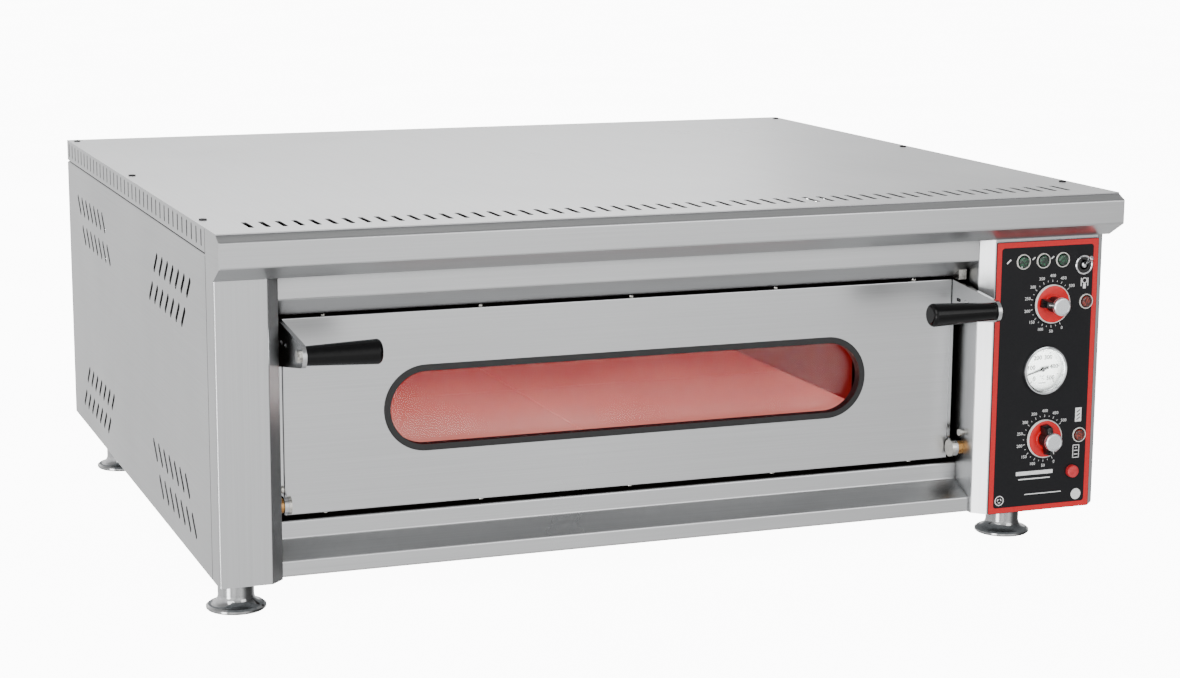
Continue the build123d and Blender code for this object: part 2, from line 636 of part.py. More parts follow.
with BuildPart() as door_skin:
    add(block(DOOR_L, DOOR_R, DOOR_FACE, DOOR_FACE + DOOR_PAN_D, DOOR_LOW, DOOR_TOP))
    fillet(edges().filter_by(GeomType.LINE).group_by(Axis.Y)[0], 1.4)
    add(block(DOOR_L + SHEET, DOOR_R - SHEET, DOOR_FACE + SHEET, DOOR_FACE + DOOR_PAN_D,
              DOOR_LOW + SHEET, DOOR_TOP - SHEET), mode=Mode.SUBTRACT)
    with BuildSketch(across(DOOR_FACE + SHEET)):
        add(window_outline(GASKET_SLEEVE - GASKET_LIP))
    extrude(amount=SHEET, mode=Mode.SUBTRACT)
    with BuildSketch(Plane.XY.offset(DOOR_LOW)):
        with Locations(*[(x, DOOR_SCREW_Y) for x in DOOR_SCREW_X]):
            Circle(DOOR_SCREW_R + HOLE_EASE)
    extrude(amount=DOOR_H, mode=Mode.SUBTRACT)
keep(door_skin, "door_skin")

PAN_L = DOOR_L + SHEET + INNER_PAN_EASE
PAN_R = DOOR_R - SHEET - INNER_PAN_EASE
PAN_LOW = DOOR_LOW + SHEET + INNER_PAN_EASE
PAN_TOP = DOOR_TOP - SHEET - INNER_PAN_EASE
with BuildPart() as door_inner_pan:
    with BuildSketch(Plane.YZ.offset(PAN_L)):
        with BuildLine():
            Polyline((DOOR_FACE + 6, PAN_LOW), (DOOR_BACK - 8, PAN_LOW), (DOOR_BACK, PIVOT_Z + 1),
                     (DOOR_BACK, PAN_TOP), (DOOR_FACE + 6, PAN_TOP), close=True)
        make_face()
    extrude(amount=PAN_R - PAN_L)
    offset(amount=-INNER_PAN_SHEET, openings=faces().sort_by(Axis.Y)[0])
    with BuildSketch(across(DOOR_BACK)):
        with Locations((MID, WINDOW_Z)):
            RectangleRounded(WINDOW_W - 10, WINDOW_H - 8, 12)
    extrude(amount=INNER_PAN_SHEET, mode=Mode.SUBTRACT)
    with BuildSketch(Plane.XY.offset(DOOR_LOW)):
        with Locations(*[(x, DOOR_SCREW_Y) for x in DOOR_SCREW_X]):
            Circle(DOOR_SCREW_R + HOLE_EASE)
    extrude(amount=DOOR_H, mode=Mode.SUBTRACT)
keep(door_inner_pan, "door_inner_pan")

GLASS_W = WINDOW_W + 2 * GLASS_LAP
GLASS_H = WINDOW_H + 2 * GLASS_LAP
OUTER_GLASS_FACE = DOOR_FACE + GASKET_D
with BuildPart() as door_insulation:
    with BuildSketch(across(OUTER_GLASS_FACE + GLASS)):
        with Locations((MID, WINDOW_Z)):
            Rectangle(PAN_R - PAN_L - 4 * INNER_PAN_SHEET, PAN_TOP - PAN_LOW - 4 * INNER_PAN_SHEET - 20)
            Rectangle(GLASS_W + 6, GLASS_H + 6, mode=Mode.SUBTRACT)
    extrude(amount=OUTER_GLASS_FACE + GLASS - DOOR_FACE - SHEET)
keep(door_insulation, "door_insulation")

with BuildPart() as window_gasket:
    with BuildSketch(across(DOOR_FACE)):
        add(window_outline(0))
    extrude(amount=GASKET_PROUD)
    fillet(edges().group_by(Axis.Y)[0], 1.0)
    with BuildSketch(across(OUTER_GLASS_FACE)):
        add(window_outline(GASKET_SLEEVE - GASKET_LIP))
    extrude(amount=GASKET_D)
    with BuildSketch(across(OUTER_GLASS_FACE)):
        add(window_outline(-GASKET_LIP))
    extrude(amount=GASKET_D + GASKET_PROUD, mode=Mode.SUBTRACT)
keep(window_gasket, "window_gasket")

with BuildPart() as outer_glass:
    with BuildSketch(across(OUTER_GLASS_FACE + GLASS)):
        with Locations((MID, WINDOW_Z)):
            RectangleRounded(GLASS_W, GLASS_H, 4)
    extrude(amount=GLASS)
keep(outer_glass, "outer_glass")

with BuildPart() as inner_glass:
    with BuildSketch(across(DOOR_BACK - INNER_PAN_SHEET)):
        with Locations((MID, WINDOW_Z)):
            RectangleRounded(GLASS_W, GLASS_H, 4)
    extrude(amount=GLASS)
keep(inner_glass, "inner_glass")

with BuildPart() as door_edge_screws:
    for seat, out in ((DOOR_TOP, 1), (DOOR_LOW, -1)):
        with BuildSketch(Plane.XY.offset(seat)):
            with Locations(*[(x, DOOR_SCREW_Y) for x in DOOR_SCREW_X]):
                Circle(DOOR_SCREW_HEAD[0])
        extrude(amount=out * DOOR_SCREW_HEAD[1])
        with BuildSketch(Plane.XY.offset(seat)):
            with Locations(*[(x, DOOR_SCREW_Y) for x in DOOR_SCREW_X]):
                Circle(DOOR_SCREW_R)
        extrude(amount=-out * 6)
keep(door_edge_screws, "door_edge_screws")

# ---------------------------------------------------------------- arms, grips and hinge


def door_arm(inner_x, out, name):
    """Flat bar up the edge of the leaf, with the handle arm and the hinge eye cut in one piece.
    out is -1 on the left edge and 1 on the right."""
    bar_front = DOOR_FACE + 2
    bar_back = bar_front + ARM_BAR_W
    with BuildPart() as arm:
        with BuildSketch(Plane.YZ.offset(inner_x)):
            with Locations((GRIP_Y, GRIP_Z)):
                Circle(ARM_TIP_R)
            with Locations(((bar_front + bar_back) / 2, DOOR_TOP - ARM_ROOT_H / 2)):
                Rectangle(ARM_BAR_W, ARM_ROOT_H)
            make_hull()
        extrude(amount=out * ARM)
        with BuildSketch(Plane.YZ.offset(inner_x)):
            with Locations(((bar_front + bar_back) / 2, (PIVOT_Z + DOOR_TOP) / 2)):
                Rectangle(ARM_BAR_W, DOOR_TOP - PIVOT_Z)
        extrude(amount=out * ARM)
        with BuildSketch(Plane.YZ.offset(inner_x)):
            with Locations((PIVOT_Y, PIVOT_Z)):
                Circle(EYE_R)
            with Locations(((bar_front + bar_back) / 2, PIVOT_Z)):
                Rectangle(ARM_BAR_W, 2 * EYE_R)
            make_hull()
        extrude(amount=out * ARM)
        with BuildSketch(Plane.YZ.offset(inner_x)):
            with Locations((PIVOT_Y, PIVOT_Z)):
                Circle(PIVOT_R)
            with Locations((GRIP_Y, GRIP_Z)):
                Circle(GRIP_BOLT_R)
            with Locations((FRONT + ARM_SLOT_SETBACK, GRIP_Z), (FRONT + ARM_SLOT_SETBACK / 2, GRIP_Z)):
                SlotOverall(*ARM_SLOT)
        extrude(amount=out * ARM, mode=Mode.SUBTRACT)
    keep(arm, name)


door_arm(DOOR_L, -1, "left_door_arm")
door_arm(DOOR_R, 1, "right_door_arm")


def door_grip(inner_x, inward, name):
    """Moulded grip that swells towards its free end, bored for its bolt."""
    with BuildPart() as grip:
        with BuildSketch(Plane(origin=(inner_x, GRIP_Y, GRIP_Z), x_dir=(inward, 0, 0), z_dir=(0, -inward, 0))):
            with BuildLine():
                Line((0, 0), (0, GRIP_ROOT_R))
                Spline((0, GRIP_ROOT_R), (GRIP_L * 0.55, GRIP_END_R - 1.4), (GRIP_L - 5, GRIP_END_R))
                ThreePointArc((GRIP_L - 5, GRIP_END_R), (GRIP_L - 1.2, GRIP_END_R - 2.2),
                              (GRIP_L, GRIP_END_R - 6))
                Polyline((GRIP_L, GRIP_END_R - 6), (GRIP_L, 0), (0, 0))
            make_face()
        revolve(axis=Axis((0, GRIP_Y, GRIP_Z), (1, 0, 0)))
        with BuildSketch(Plane.YZ.offset(inner_x)):
            with Locations((GRIP_Y, GRIP_Z)):
                Circle(GRIP_BOLT_R)
        extrude(amount=inward * GRIP_L * 0.7, mode=Mode.SUBTRACT)
    keep(grip, name)


door_grip(DOOR_L, 1, "left_grip")
door_grip(DOOR_R, -1, "right_grip")

with BuildPart() as grip_bolts:
    for arm_x, out in ((DOOR_L, -1), (DOOR_R, 1)):
        with BuildSketch(Plane.YZ.offset(arm_x + out * ARM)):
            with Locations((GRIP_Y, GRIP_Z)):
                RegularPolygon(GRIP_BOLT_HEAD_R, 6)
        extrude(amount=out * GRIP_BOLT_HEAD_H)
        with BuildSketch(Plane.YZ.offset(arm_x + out * ARM)):
            with Locations((GRIP_Y, GRIP_Z)):
                Circle(GRIP_BOLT_R)
        extrude(amount=-out * (ARM + GRIP_L * 0.65))
keep(grip_bolts, "grip_bolts")

with BuildPart() as hinge_bolts:
    for arm_x, out in ((DOOR_L, -1), (DOOR_R, 1)):
        with BuildSketch(Plane.YZ.offset(arm_x)):
            with Locations((PIVOT_Y, PIVOT_Z)):
                Circle(HINGE_HEAD_R)
        extrude(amount=-out * HINGE_HEAD_H)
        with BuildSketch(Plane.YZ.offset(arm_x)):
            with Locations((PIVOT_Y, PIVOT_Z)):
                Circle(PIVOT_R)
        extrude(amount=out * (DOOR_GAP + 12))
keep(hinge_bolts, "hinge_bolts")

BUSH_GAP = 0.4
with BuildPart() as hinge_bushes:
    for arm_x, out in ((DOOR_L, -1), (DOOR_R, 1)):
        with BuildSketch(Plane.YZ.offset(arm_x + out * (ARM + BUSH_GAP))):
            with Locations((PIVOT_Y, PIVOT_Z)):
                Circle(BUSH_R)
                Circle(PIVOT_R + RUNNING_FIT, mode=Mode.SUBTRACT)
        extrude(amount=out * (DOOR_GAP - ARM - BUSH_GAP))
        with BuildSketch(Plane.YZ.offset(arm_x + out * DOOR_GAP)):
            with Locations((PIVOT_Y, PIVOT_Z)):
                Circle(BUSH_R - 2)
                Circle(PIVOT_R + RUNNING_FIT, mode=Mode.SUBTRACT)
        extrude(amount=out * (SHEET + 5))
keep(hinge_bushes, "hinge_bushes")

CATCH = (11.0, 18.0, 2.5)
with BuildPart() as recess_fittings:
    add(block(DOOR_R, DOOR_R + CATCH[0], DOOR_FACE - CATCH[1], DOOR_FACE + 6,
              TOP - SOFFIT - CATCH[2], TOP - SOFFIT + 14))
    with BuildSketch(Plane.YZ.offset(DOOR_R)):
        with BuildLine():
            Polyline((FRONT + BEVEL, TOP - LINTEL_STRIP_LOW), (DOOR_FACE, TOP - SOFFIT),
                     (DOOR_FACE + 10, TOP - SOFFIT), (DOOR_FACE + 10, TOP), (FRONT + BEVEL, TOP), close=True)
        make_face()
    extrude(amount=CATCH[0], mode=Mode.SUBTRACT)
    for wall_x, inward in ((DOOR_L - DOOR_GAP, 1), (DOOR_R + DOOR_GAP, -1)):
        with BuildSketch(Plane.YZ.offset(wall_x)):
            with Locations(STOP_SCREW_AT):
                Circle(STOP_SCREW_R)
        extrude(amount=inward * STOP_SCREW_OUT)
        with BuildSketch(Plane.YZ.offset(wall_x)):
            with Locations(STOP_SCREW_AT):
                Circle(STOP_SCREW_R)
        extrude(amount=-inward * 3 * SHEET)
        with BuildSketch(Plane.YZ.offset(wall_x + inward * (STOP_SCREW_OUT - STOP_SCREW_HEAD[1]))):
            with Locations(STOP_SCREW_AT):
                Circle(STOP_SCREW_HEAD[0])
        extrude(amount=inward * STOP_SCREW_HEAD[1])
keep(recess_fittings, "recess_fittings")

# ---------------------------------------------------------------- knobs and the bodies behind the panel


def knob(at, bar_turn, name):
    """Bar knob with a round hub, on its own D-less shaft, and the disc that it carries."""
    dial_back = FASCIA_FACE - KNOB_GAP
    dial_face = dial_back - KNOB_DIAL_H
    with BuildPart() as dial:
        with BuildSketch(across(dial_back)):
            with Locations(at):
                Circle(KNOB_DIAL_R)
                Circle(SHAFT_R, mode=Mode.SUBTRACT)
        extrude(amount=KNOB_DIAL_H)
        fillet(edges().group_by(Axis.Y)[0], 1)
    keep(dial, f"{name}_dial")
    with BuildPart() as grip:
        with BuildSketch(across(dial_face)):
            with Locations(at):
                SlotOverall(*KNOB_BAR, rotation=bar_turn)
        extrude(amount=KNOB_BAR_H)
        fillet(edges().group_by(Axis.Y)[0], 2)
        with BuildSketch(across(dial_face)):
            with Locations(at):
                Circle(KNOB_HUB_R)
        extrude(amount=KNOB_HUB_H)
        with BuildSketch(across(dial_face)):
            with Locations(at):
                Circle(SHAFT_R)
        extrude(amount=-(KNOB_DIAL_H + KNOB_GAP + FASCIA + SHEET + 20))
    keep(grip, name)


knob(UPPER_KNOB_AT, -8, "upper_knob")
knob(LOWER_KNOB_AT, 100, "lower_knob")

with BuildPart() as control_bodies:
    with BuildSketch(across(FRONT + SHEET + THERMOSTAT[1])):
        with Locations(UPPER_KNOB_AT, LOWER_KNOB_AT):
            RectangleRounded(THERMOSTAT[0], THERMOSTAT[0], 3)
    extrude(amount=THERMOSTAT[1])
    with BuildSketch(across(FRONT + SHEET)):
        with Locations(UPPER_KNOB_AT, LOWER_KNOB_AT):
            Circle(SHAFT_R + RUNNING_FIT)
    extrude(amount=-24, mode=Mode.SUBTRACT)
    with BuildSketch(across(FRONT + SHEET + BUTTON_BODY_D)):
        with Locations(BUTTON_AT):
            Circle(BUTTON_R + 3)
    extrude(amount=BUTTON_BODY_D)
    with BuildSketch(across(FRONT + BUTTON_TAIL + BUTTON_TRAVEL + 2)):
        with Locations(BUTTON_AT):
            Circle(BUTTON_R + BUTTON_EASE)
    extrude(amount=BUTTON_TAIL + BUTTON_TRAVEL + 2 - SHEET, mode=Mode.SUBTRACT)
keep(control_bodies, "control_bodies")

# ---------------------------------------------------------------- temperature gauge
gauge_axis = Axis((GAUGE_AT[0], 0, GAUGE_AT[1]), (0, 1, 0))
DIAL_FACE = FRONT + DIAL_DEPTH
GAUGE_FACE = FASCIA_FACE - GAUGE_PROUD
with BuildPart() as gauge_case:
    with BuildSketch(across(FASCIA_FACE)):
        with Locations(GAUGE_AT):
            Circle(GAUGE_R)
    extrude(amount=GAUGE_PROUD)
    fillet(edges().group_by(Axis.Y)[0], 2.5)
    with BuildSketch(across(FRONT + GAUGE_BODY_D)):
        with Locations(GAUGE_AT):
            Circle(GAUGE_BODY_R)
    extrude(amount=GAUGE_BODY_D + FASCIA)
    with BuildSketch(across(DIAL_FACE + 1)):
        with Locations(GAUGE_AT):
            Circle(GAUGE_BORE_R)
    extrude(amount=DIAL_FACE + 1 - GAUGE_FACE, mode=Mode.SUBTRACT)
keep(gauge_case, "gauge_case")

NEEDLE_PIN_R = 1.0
with BuildPart() as gauge_dial:
    with BuildSketch(across(DIAL_FACE + 1)):
        with Locations(GAUGE_AT):
            Circle(GAUGE_BORE_R)
            Circle(NEEDLE_PIN_R + RUNNING_FIT, mode=Mode.SUBTRACT)
    extrude(amount=1)
keep(gauge_dial, "gauge_dial")

NEEDLE_ANGLE = 196.0
NEEDLE_BACK = DIAL_FACE - 1.0
with BuildPart() as gauge_needle:
    with BuildSketch(Plane(origin=(GAUGE_AT[0], NEEDLE_BACK, GAUGE_AT[1]),
                           x_dir=(cos(radians(NEEDLE_ANGLE)), 0, sin(radians(NEEDLE_ANGLE))),
                           z_dir=(0, -1, 0))):
        with BuildLine():
            Polyline((24, 0.4), (24, -0.4), (4, -1.2), (-9, -1.9), (-9, 1.9), (4, 1.2), close=True)
        make_face()
        Circle(3.2)
    extrude(amount=0.6)
    with BuildSketch(across(NEEDLE_BACK)):
        with Locations(GAUGE_AT):
            Circle(NEEDLE_PIN_R)
    extrude(amount=-1.8)
keep(gauge_needle, "gauge_needle")

with BuildPart() as gauge_glass:
    with BuildSketch(across(GAUGE_FACE + 3)):
        with Locations(GAUGE_AT):
            Circle(GAUGE_BORE_R)
    extrude(amount=1.5)
keep(gauge_glass, "gauge_glass")

# ---------------------------------------------------------------- lamps, switch and button
with BuildPart() as lamp_rings:
    with BuildSketch(across(FASCIA_FACE)):
        with Locations(*GREEN_LAMPS, *AMBER_LAMPS):
            Circle(LAMP_R)
    extrude(amount=LAMP_PROUD)
    fillet(edges().group_by(Axis.Y)[0], 0.8)
    with BuildSketch(across(FRONT + 22)):
        with Locations(*GREEN_LAMPS, *AMBER_LAMPS):
            Circle(LAMP_BODY_R)
    extrude(amount=22 + FASCIA)
    with BuildSketch(across(FRONT + 2)):
        with Locations(*GREEN_LAMPS, *AMBER_LAMPS):
            Circle(LAMP_LENS_R)
    extrude(amount=2 + FASCIA + LAMP_PROUD, mode=Mode.SUBTRACT)
keep(lamp_rings, "lamp_rings")


def lamp_lenses(places, name):
    """Domed lenses seated in the lamp rings."""
    with BuildPart() as lenses:
        with BuildSketch(across(FRONT + 2)):
            with Locations(*places):
                Circle(LAMP_LENS_R)
        extrude(amount=2 + FASCIA + LAMP_PROUD + 1.5)
        fillet(edges().group_by(Axis.Y)[0], 2.5)
    keep(lenses, name)


lamp_lenses(GREEN_LAMPS, "green_lamp_lenses")
lamp_lenses(AMBER_LAMPS, "amber_lamp_lenses")

LEVER_Y = FRONT - 1.0
with BuildPart() as light_switch:
    with BuildSketch(across(FASCIA_FACE)):
        with Locations(SWITCH_AT):
            Circle(SWITCH_R)
    extrude(amount=2)
    fillet(edges().group_by(Axis.Y)[0], 0.8)
    with BuildSketch(across(FRONT + 28)):
        with Locations(SWITCH_AT):
            Circle(SWITCH_BODY_R)
    extrude(amount=28 + FASCIA)
    with BuildSketch(across(FRONT + 5)):
        with Locations(SWITCH_AT):
            Circle(SWITCH_MOUTH_R)
    extrude(amount=5 + FASCIA + 2, mode=Mode.SUBTRACT)
keep(light_switch, "light_switch")

with BuildPart() as switch_lever:
    with Locations((SWITCH_AT[0], LEVER_Y, SWITCH_AT[1])):
        Sphere(LEVER_BALL_R)
    with BuildSketch(Plane(origin=(SWITCH_AT[0], LEVER_Y, SWITCH_AT[1]), x_dir=(1, 0, 0),
                           z_dir=(0, -cos(radians(LEVER_TILT)), sin(radians(LEVER_TILT))))) as root:
        Circle(1.8)
    with BuildSketch(Plane(origin=(SWITCH_AT[0], LEVER_Y - LEVER_L * cos(radians(LEVER_TILT)),
                                   SWITCH_AT[1] + LEVER_L * sin(radians(LEVER_TILT))), x_dir=(1, 0, 0),
                           z_dir=(0, -cos(radians(LEVER_TILT)), sin(radians(LEVER_TILT))))) as tip:
        Circle(3.2)
    loft()
    fillet(edges().filter_by(GeomType.CIRCLE).group_by(Axis.Y)[0], 1.4)
keep(switch_lever, "switch_lever")

with BuildPart() as reset_button:
    with BuildSketch(across(FRONT + BUTTON_TAIL)):
        with Locations(BUTTON_AT):
            Circle(BUTTON_R)
    extrude(amount=BUTTON_TAIL + FASCIA + BUTTON_PROUD)
    fillet(edges().group_by(Axis.Y)[0], 3.0)
keep(reset_button, "reset_button")

# ---------------------------------------------------------------- cable gland
with BuildPart() as cable_gland:
    with BuildSketch(across(BACK + 8)):
        with Locations(GLAND_AT):
            RegularPolygon(GLAND_R, 6)
    extrude(amount=8)
    with BuildSketch(across(BACK + GLAND_OUT)):
        with Locations(GLAND_AT):
            Circle(GLAND_R - 3)
    extrude(amount=GLAND_OUT - 8)
    with BuildSketch(across(BACK)):
        with Locations(GLAND_AT):
            Circle(GLAND_BORE_R + 2)
    extrude(amount=SHEET)
    with BuildSketch(across(BACK - SHEET)):
        with Locations(GLAND_AT):
            RegularPolygon(GLAND_R, 6)
    extrude(amount=5)
    with BuildSketch(across(BACK + GLAND_OUT)):
        with Locations(GLAND_AT):
            Circle(GLAND_BORE_R)
    extrude(amount=GLAND_OUT + 20, mode=Mode.SUBTRACT)
keep(cable_gland, "cable_gland")
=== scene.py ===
import math

import bpy
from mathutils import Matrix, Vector


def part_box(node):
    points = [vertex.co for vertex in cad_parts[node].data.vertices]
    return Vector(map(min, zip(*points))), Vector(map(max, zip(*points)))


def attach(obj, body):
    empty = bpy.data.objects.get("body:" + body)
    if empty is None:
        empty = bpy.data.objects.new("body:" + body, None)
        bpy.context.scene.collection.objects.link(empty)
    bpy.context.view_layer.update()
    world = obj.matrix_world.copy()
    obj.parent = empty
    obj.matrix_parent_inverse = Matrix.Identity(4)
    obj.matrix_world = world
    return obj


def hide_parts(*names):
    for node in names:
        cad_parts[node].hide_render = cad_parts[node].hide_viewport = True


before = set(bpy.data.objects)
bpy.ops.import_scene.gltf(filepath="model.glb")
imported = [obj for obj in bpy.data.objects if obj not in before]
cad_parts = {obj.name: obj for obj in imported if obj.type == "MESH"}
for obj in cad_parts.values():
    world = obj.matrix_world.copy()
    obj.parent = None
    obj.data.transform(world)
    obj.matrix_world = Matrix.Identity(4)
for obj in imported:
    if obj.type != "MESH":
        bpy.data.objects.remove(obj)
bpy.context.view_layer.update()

# ---------------------------------------------------------------- view, floor and light
# The oven stands on a plain pale floor that runs to the horizon, and the camera looks down on
# its front left corner. The steel mirrors the air round it, which is bright low down, dim
# overhead and to the right, and brightest in a small softbox low on the left.
post_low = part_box("left_post")[0]
CAMERA_FROM_POST = (-0.5874, -2.7718, 0.8324)
CAMERA_YAW, CAMERA_PITCH, CAMERA_ROLL = 20.8, 10.7, 0.3
LENS_MM = 75.07
LEFT_SOFTBOX = (-0.845, -0.50, -0.19)

bpy.ops.object.select_all(action="DESELECT")
yaw, pitch, roll = (math.radians(angle) for angle in (CAMERA_YAW, CAMERA_PITCH, CAMERA_ROLL))
bpy.ops.object.camera_add(location=post_low + Vector(CAMERA_FROM_POST))
camera = bpy.context.object
camera.name = "studio_camera"
looking = Vector((math.sin(yaw) * math.cos(pitch), math.cos(yaw) * math.cos(pitch),
                  -math.sin(pitch)))
camera.rotation_euler = looking.to_track_quat("-Z", "Y").to_euler()
camera.rotation_euler.rotate_axis("Z", roll)
camera.data.lens = LENS_MM
camera.data.sensor_width = 36.0
bpy.context.scene.camera = camera


def colour(hex_code):
    """Linear RGBA of an sRGB colour written as a hex number."""
    channels = [((hex_code >> shift) & 255) / 255 for shift in (16, 8, 0)]
    return [c / 12.92 if c <= 0.04045 else ((c + 0.055) / 1.055) ** 2.4 for c in channels] + [1.0]


def add_node(tree, kind, settings=None, links=None):
    """Adds a node, sets its properties, input values and ramp stops, and links its inputs."""
    made = tree.nodes.new(kind)
    for key, value in (settings or {}).items():
        if key == "stops":
            elements = made.color_ramp.elements
            while len(elements) < len(value):
                elements.new(0.5)
            for element, (position, tone) in zip(elements, value):
                element.position = position
                element.color = colour(tone) if isinstance(tone, int) else (tone, tone, tone, 1)
        elif isinstance(key, str) and hasattr(made, key):
            setattr(made, key, value)
        else:
            made.inputs[key].default_value = value
    for key, source in (links or {}).items():
        tree.links.new(source, made.inputs[key])
    return made


def new_finish(name, **settings):
    """A material whose shader inputs are set by name, with its tree, shader and object place."""
    material = bpy.data.materials.new(name)
    material.use_nodes = True
    tree = material.node_tree
    shader = tree.nodes["Principled BSDF"]
    for key, value in settings.items():
        shader.inputs[key.replace("_", " ")].default_value = value
    return material, tree, shader, add_node(tree, "ShaderNodeTexCoord").outputs["Object"]


def vary(tree, shader, pattern, looks):
    """Lets a pattern drive shader inputs, each through stops of hex colours or plain levels."""
    for socket, stops in looks.items():
        ramp = add_node(tree, "ShaderNodeValToRGB", {"stops": stops}, {"Fac": pattern})
        tree.links.new(ramp.outputs["Color"], shader.inputs[socket])


world = bpy.data.worlds.new("studio_air")
bpy.context.scene.world = world
world.use_nodes = True
air = world.node_tree
heading = add_node(air, "ShaderNodeTexCoord").outputs["Generated"]
parts = add_node(air, "ShaderNodeSeparateXYZ", links={0: heading})
height = add_node(air, "ShaderNodeMath", {"operation": "MULTIPLY_ADD", 1: 0.5, 2: 0.5},
                  {0: parts.outputs["Z"]})
by_height = add_node(air, "ShaderNodeValToRGB", {"stops": [
    (0.0, 0.60), (0.30, 0.64), (0.38, 0.91), (0.47, 0.96),
    (0.58, 0.92), (0.70, 0.75), (0.84, 0.34), (1.0, 0.24)]},
    {"Fac": height.outputs[0]}).outputs["Color"]
rightward = add_node(air, "ShaderNodeMath", {"operation": "MULTIPLY_ADD", 1: -0.2},
                     {0: parts.outputs["Y"], 2: parts.outputs["X"]})
to_right = add_node(air, "ShaderNodeMapRange",
                    {"interpolation_type": "SMOOTHSTEP", 1: 0.50, 2: 0.95, 3: 1.0, 4: 0.10},
                    {0: rightward.outputs[0]})
to_left = add_node(air, "ShaderNodeMapRange",
                   {"interpolation_type": "SMOOTHSTEP", 1: -0.98, 2: -0.88, 3: 1.25, 4: 1.6},
                   {0: parts.outputs["X"]})
to_back = add_node(air, "ShaderNodeMapRange",
                   {"interpolation_type": "SMOOTHSTEP", 1: -0.6, 2: 0.7, 3: 1.10, 4: 0.84},
                   {0: parts.outputs["Y"]})
from_box = add_node(air, "ShaderNodeVectorMath", {"operation": "DISTANCE", 1: LEFT_SOFTBOX},
                    {0: heading})
softbox = add_node(air, "ShaderNodeMapRange",
                   {"interpolation_type": "SMOOTHSTEP", 1: 0.10, 2: 0.26, 3: 7.5, 4: 1.0},
                   {0: from_box.outputs["Value"]})
haze = add_node(air, "ShaderNodeTexNoise", {"Scale": 2.2, "Detail": 1.0}, {"Vector": heading})
mottle = add_node(air, "ShaderNodeMapRange", {1: 0.3, 2: 0.7, 3: 0.80, 4: 1.20},
                  {0: haze.outputs["Fac"]})
level = to_right
for more in (to_left, mottle, softbox, to_back):
    level = add_node(air, "ShaderNodeMath", {"operation": "MULTIPLY"},
                     {0: level.outputs[0], 1: more.outputs[0]})
air.links.new(by_height, air.nodes["Background"].inputs["Color"])
air.links.new(level.outputs[0], air.nodes["Background"].inputs["Strength"])

bpy.ops.mesh.primitive_plane_add(size=160, location=(0, 0, 0))
floor = bpy.context.object
floor.name = "studio_floor"
floor_paint, tree, shader, place = new_finish("pale_studio_floor", Roughness=0.6,
                                              Emission_Strength=12.0)
grit = add_node(tree, "ShaderNodeTexNoise", {"Scale": 2.0, "Detail": 2.0}, {"Vector": place})
floor_tone = [(0.3, 0xF2F2F2), (0.7, 0xF6F6F6)]
vary(tree, shader, grit.outputs["Fac"], {"Base Color": floor_tone, "Emission Color": floor_tone})
floor.data.materials.append(floor_paint)
floor.visible_diffuse = False
floor.visible_glossy = False

for name, where, aim, size, watts in (
        ("key_softbox", (-2.6, -2.4, 2.6), (0.0, 0.0, 0.2), 2.4, 70),
        ("front_softbox", (1.6, -3.6, 1.6), (0.1, -0.4, 0.2), 2.0, 30),
        ("rear_softbox", (0.6, 3.2, 2.4), (0.0, 0.3, 0.4), 2.6, 40)):
    bpy.ops.object.light_add(type="AREA", location=where)
    lamp = bpy.context.object
    lamp.name = name
    lamp.data.size = size
    lamp.data.energy = watts
    lamp.rotation_euler = (Vector(aim) - Vector(where)).to_track_quat("-Z", "Y").to_euler()

# ---------------------------------------------------------------- folded stainless sheets
# The body, door and trims are 1.5 mm stainless, satin ground along each sheet before folding.
# The lines are drawn coarser than the real 0.1 mm so that they show, under faint cloudy
# patches from handling. Seams and recesses are darkened with painted shade from ambient
# occlusion, and steel behind the door's face is painted near black as the shade in the gaps.
GRIND_LINE_MM = 1.8
GRIND_STREAK_MM = 240.0
CLOUD_MM = 250.0
STEEL_TONE = 0xCDCECF
LINE_DEPTH = 0.80
# Reach of the painted shade in seams, and in deeper recesses.
SEAM_SHADE_REACH = 0.006
RECESS_SHADE_REACH = 0.035
# Tone and fade of the painted shade on steel behind the door's face.
GAP_SHADE_TONE, GAP_SHADE_FADE = 0x2A2624, 0.006
DOOR_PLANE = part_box("door_skin")[0].y


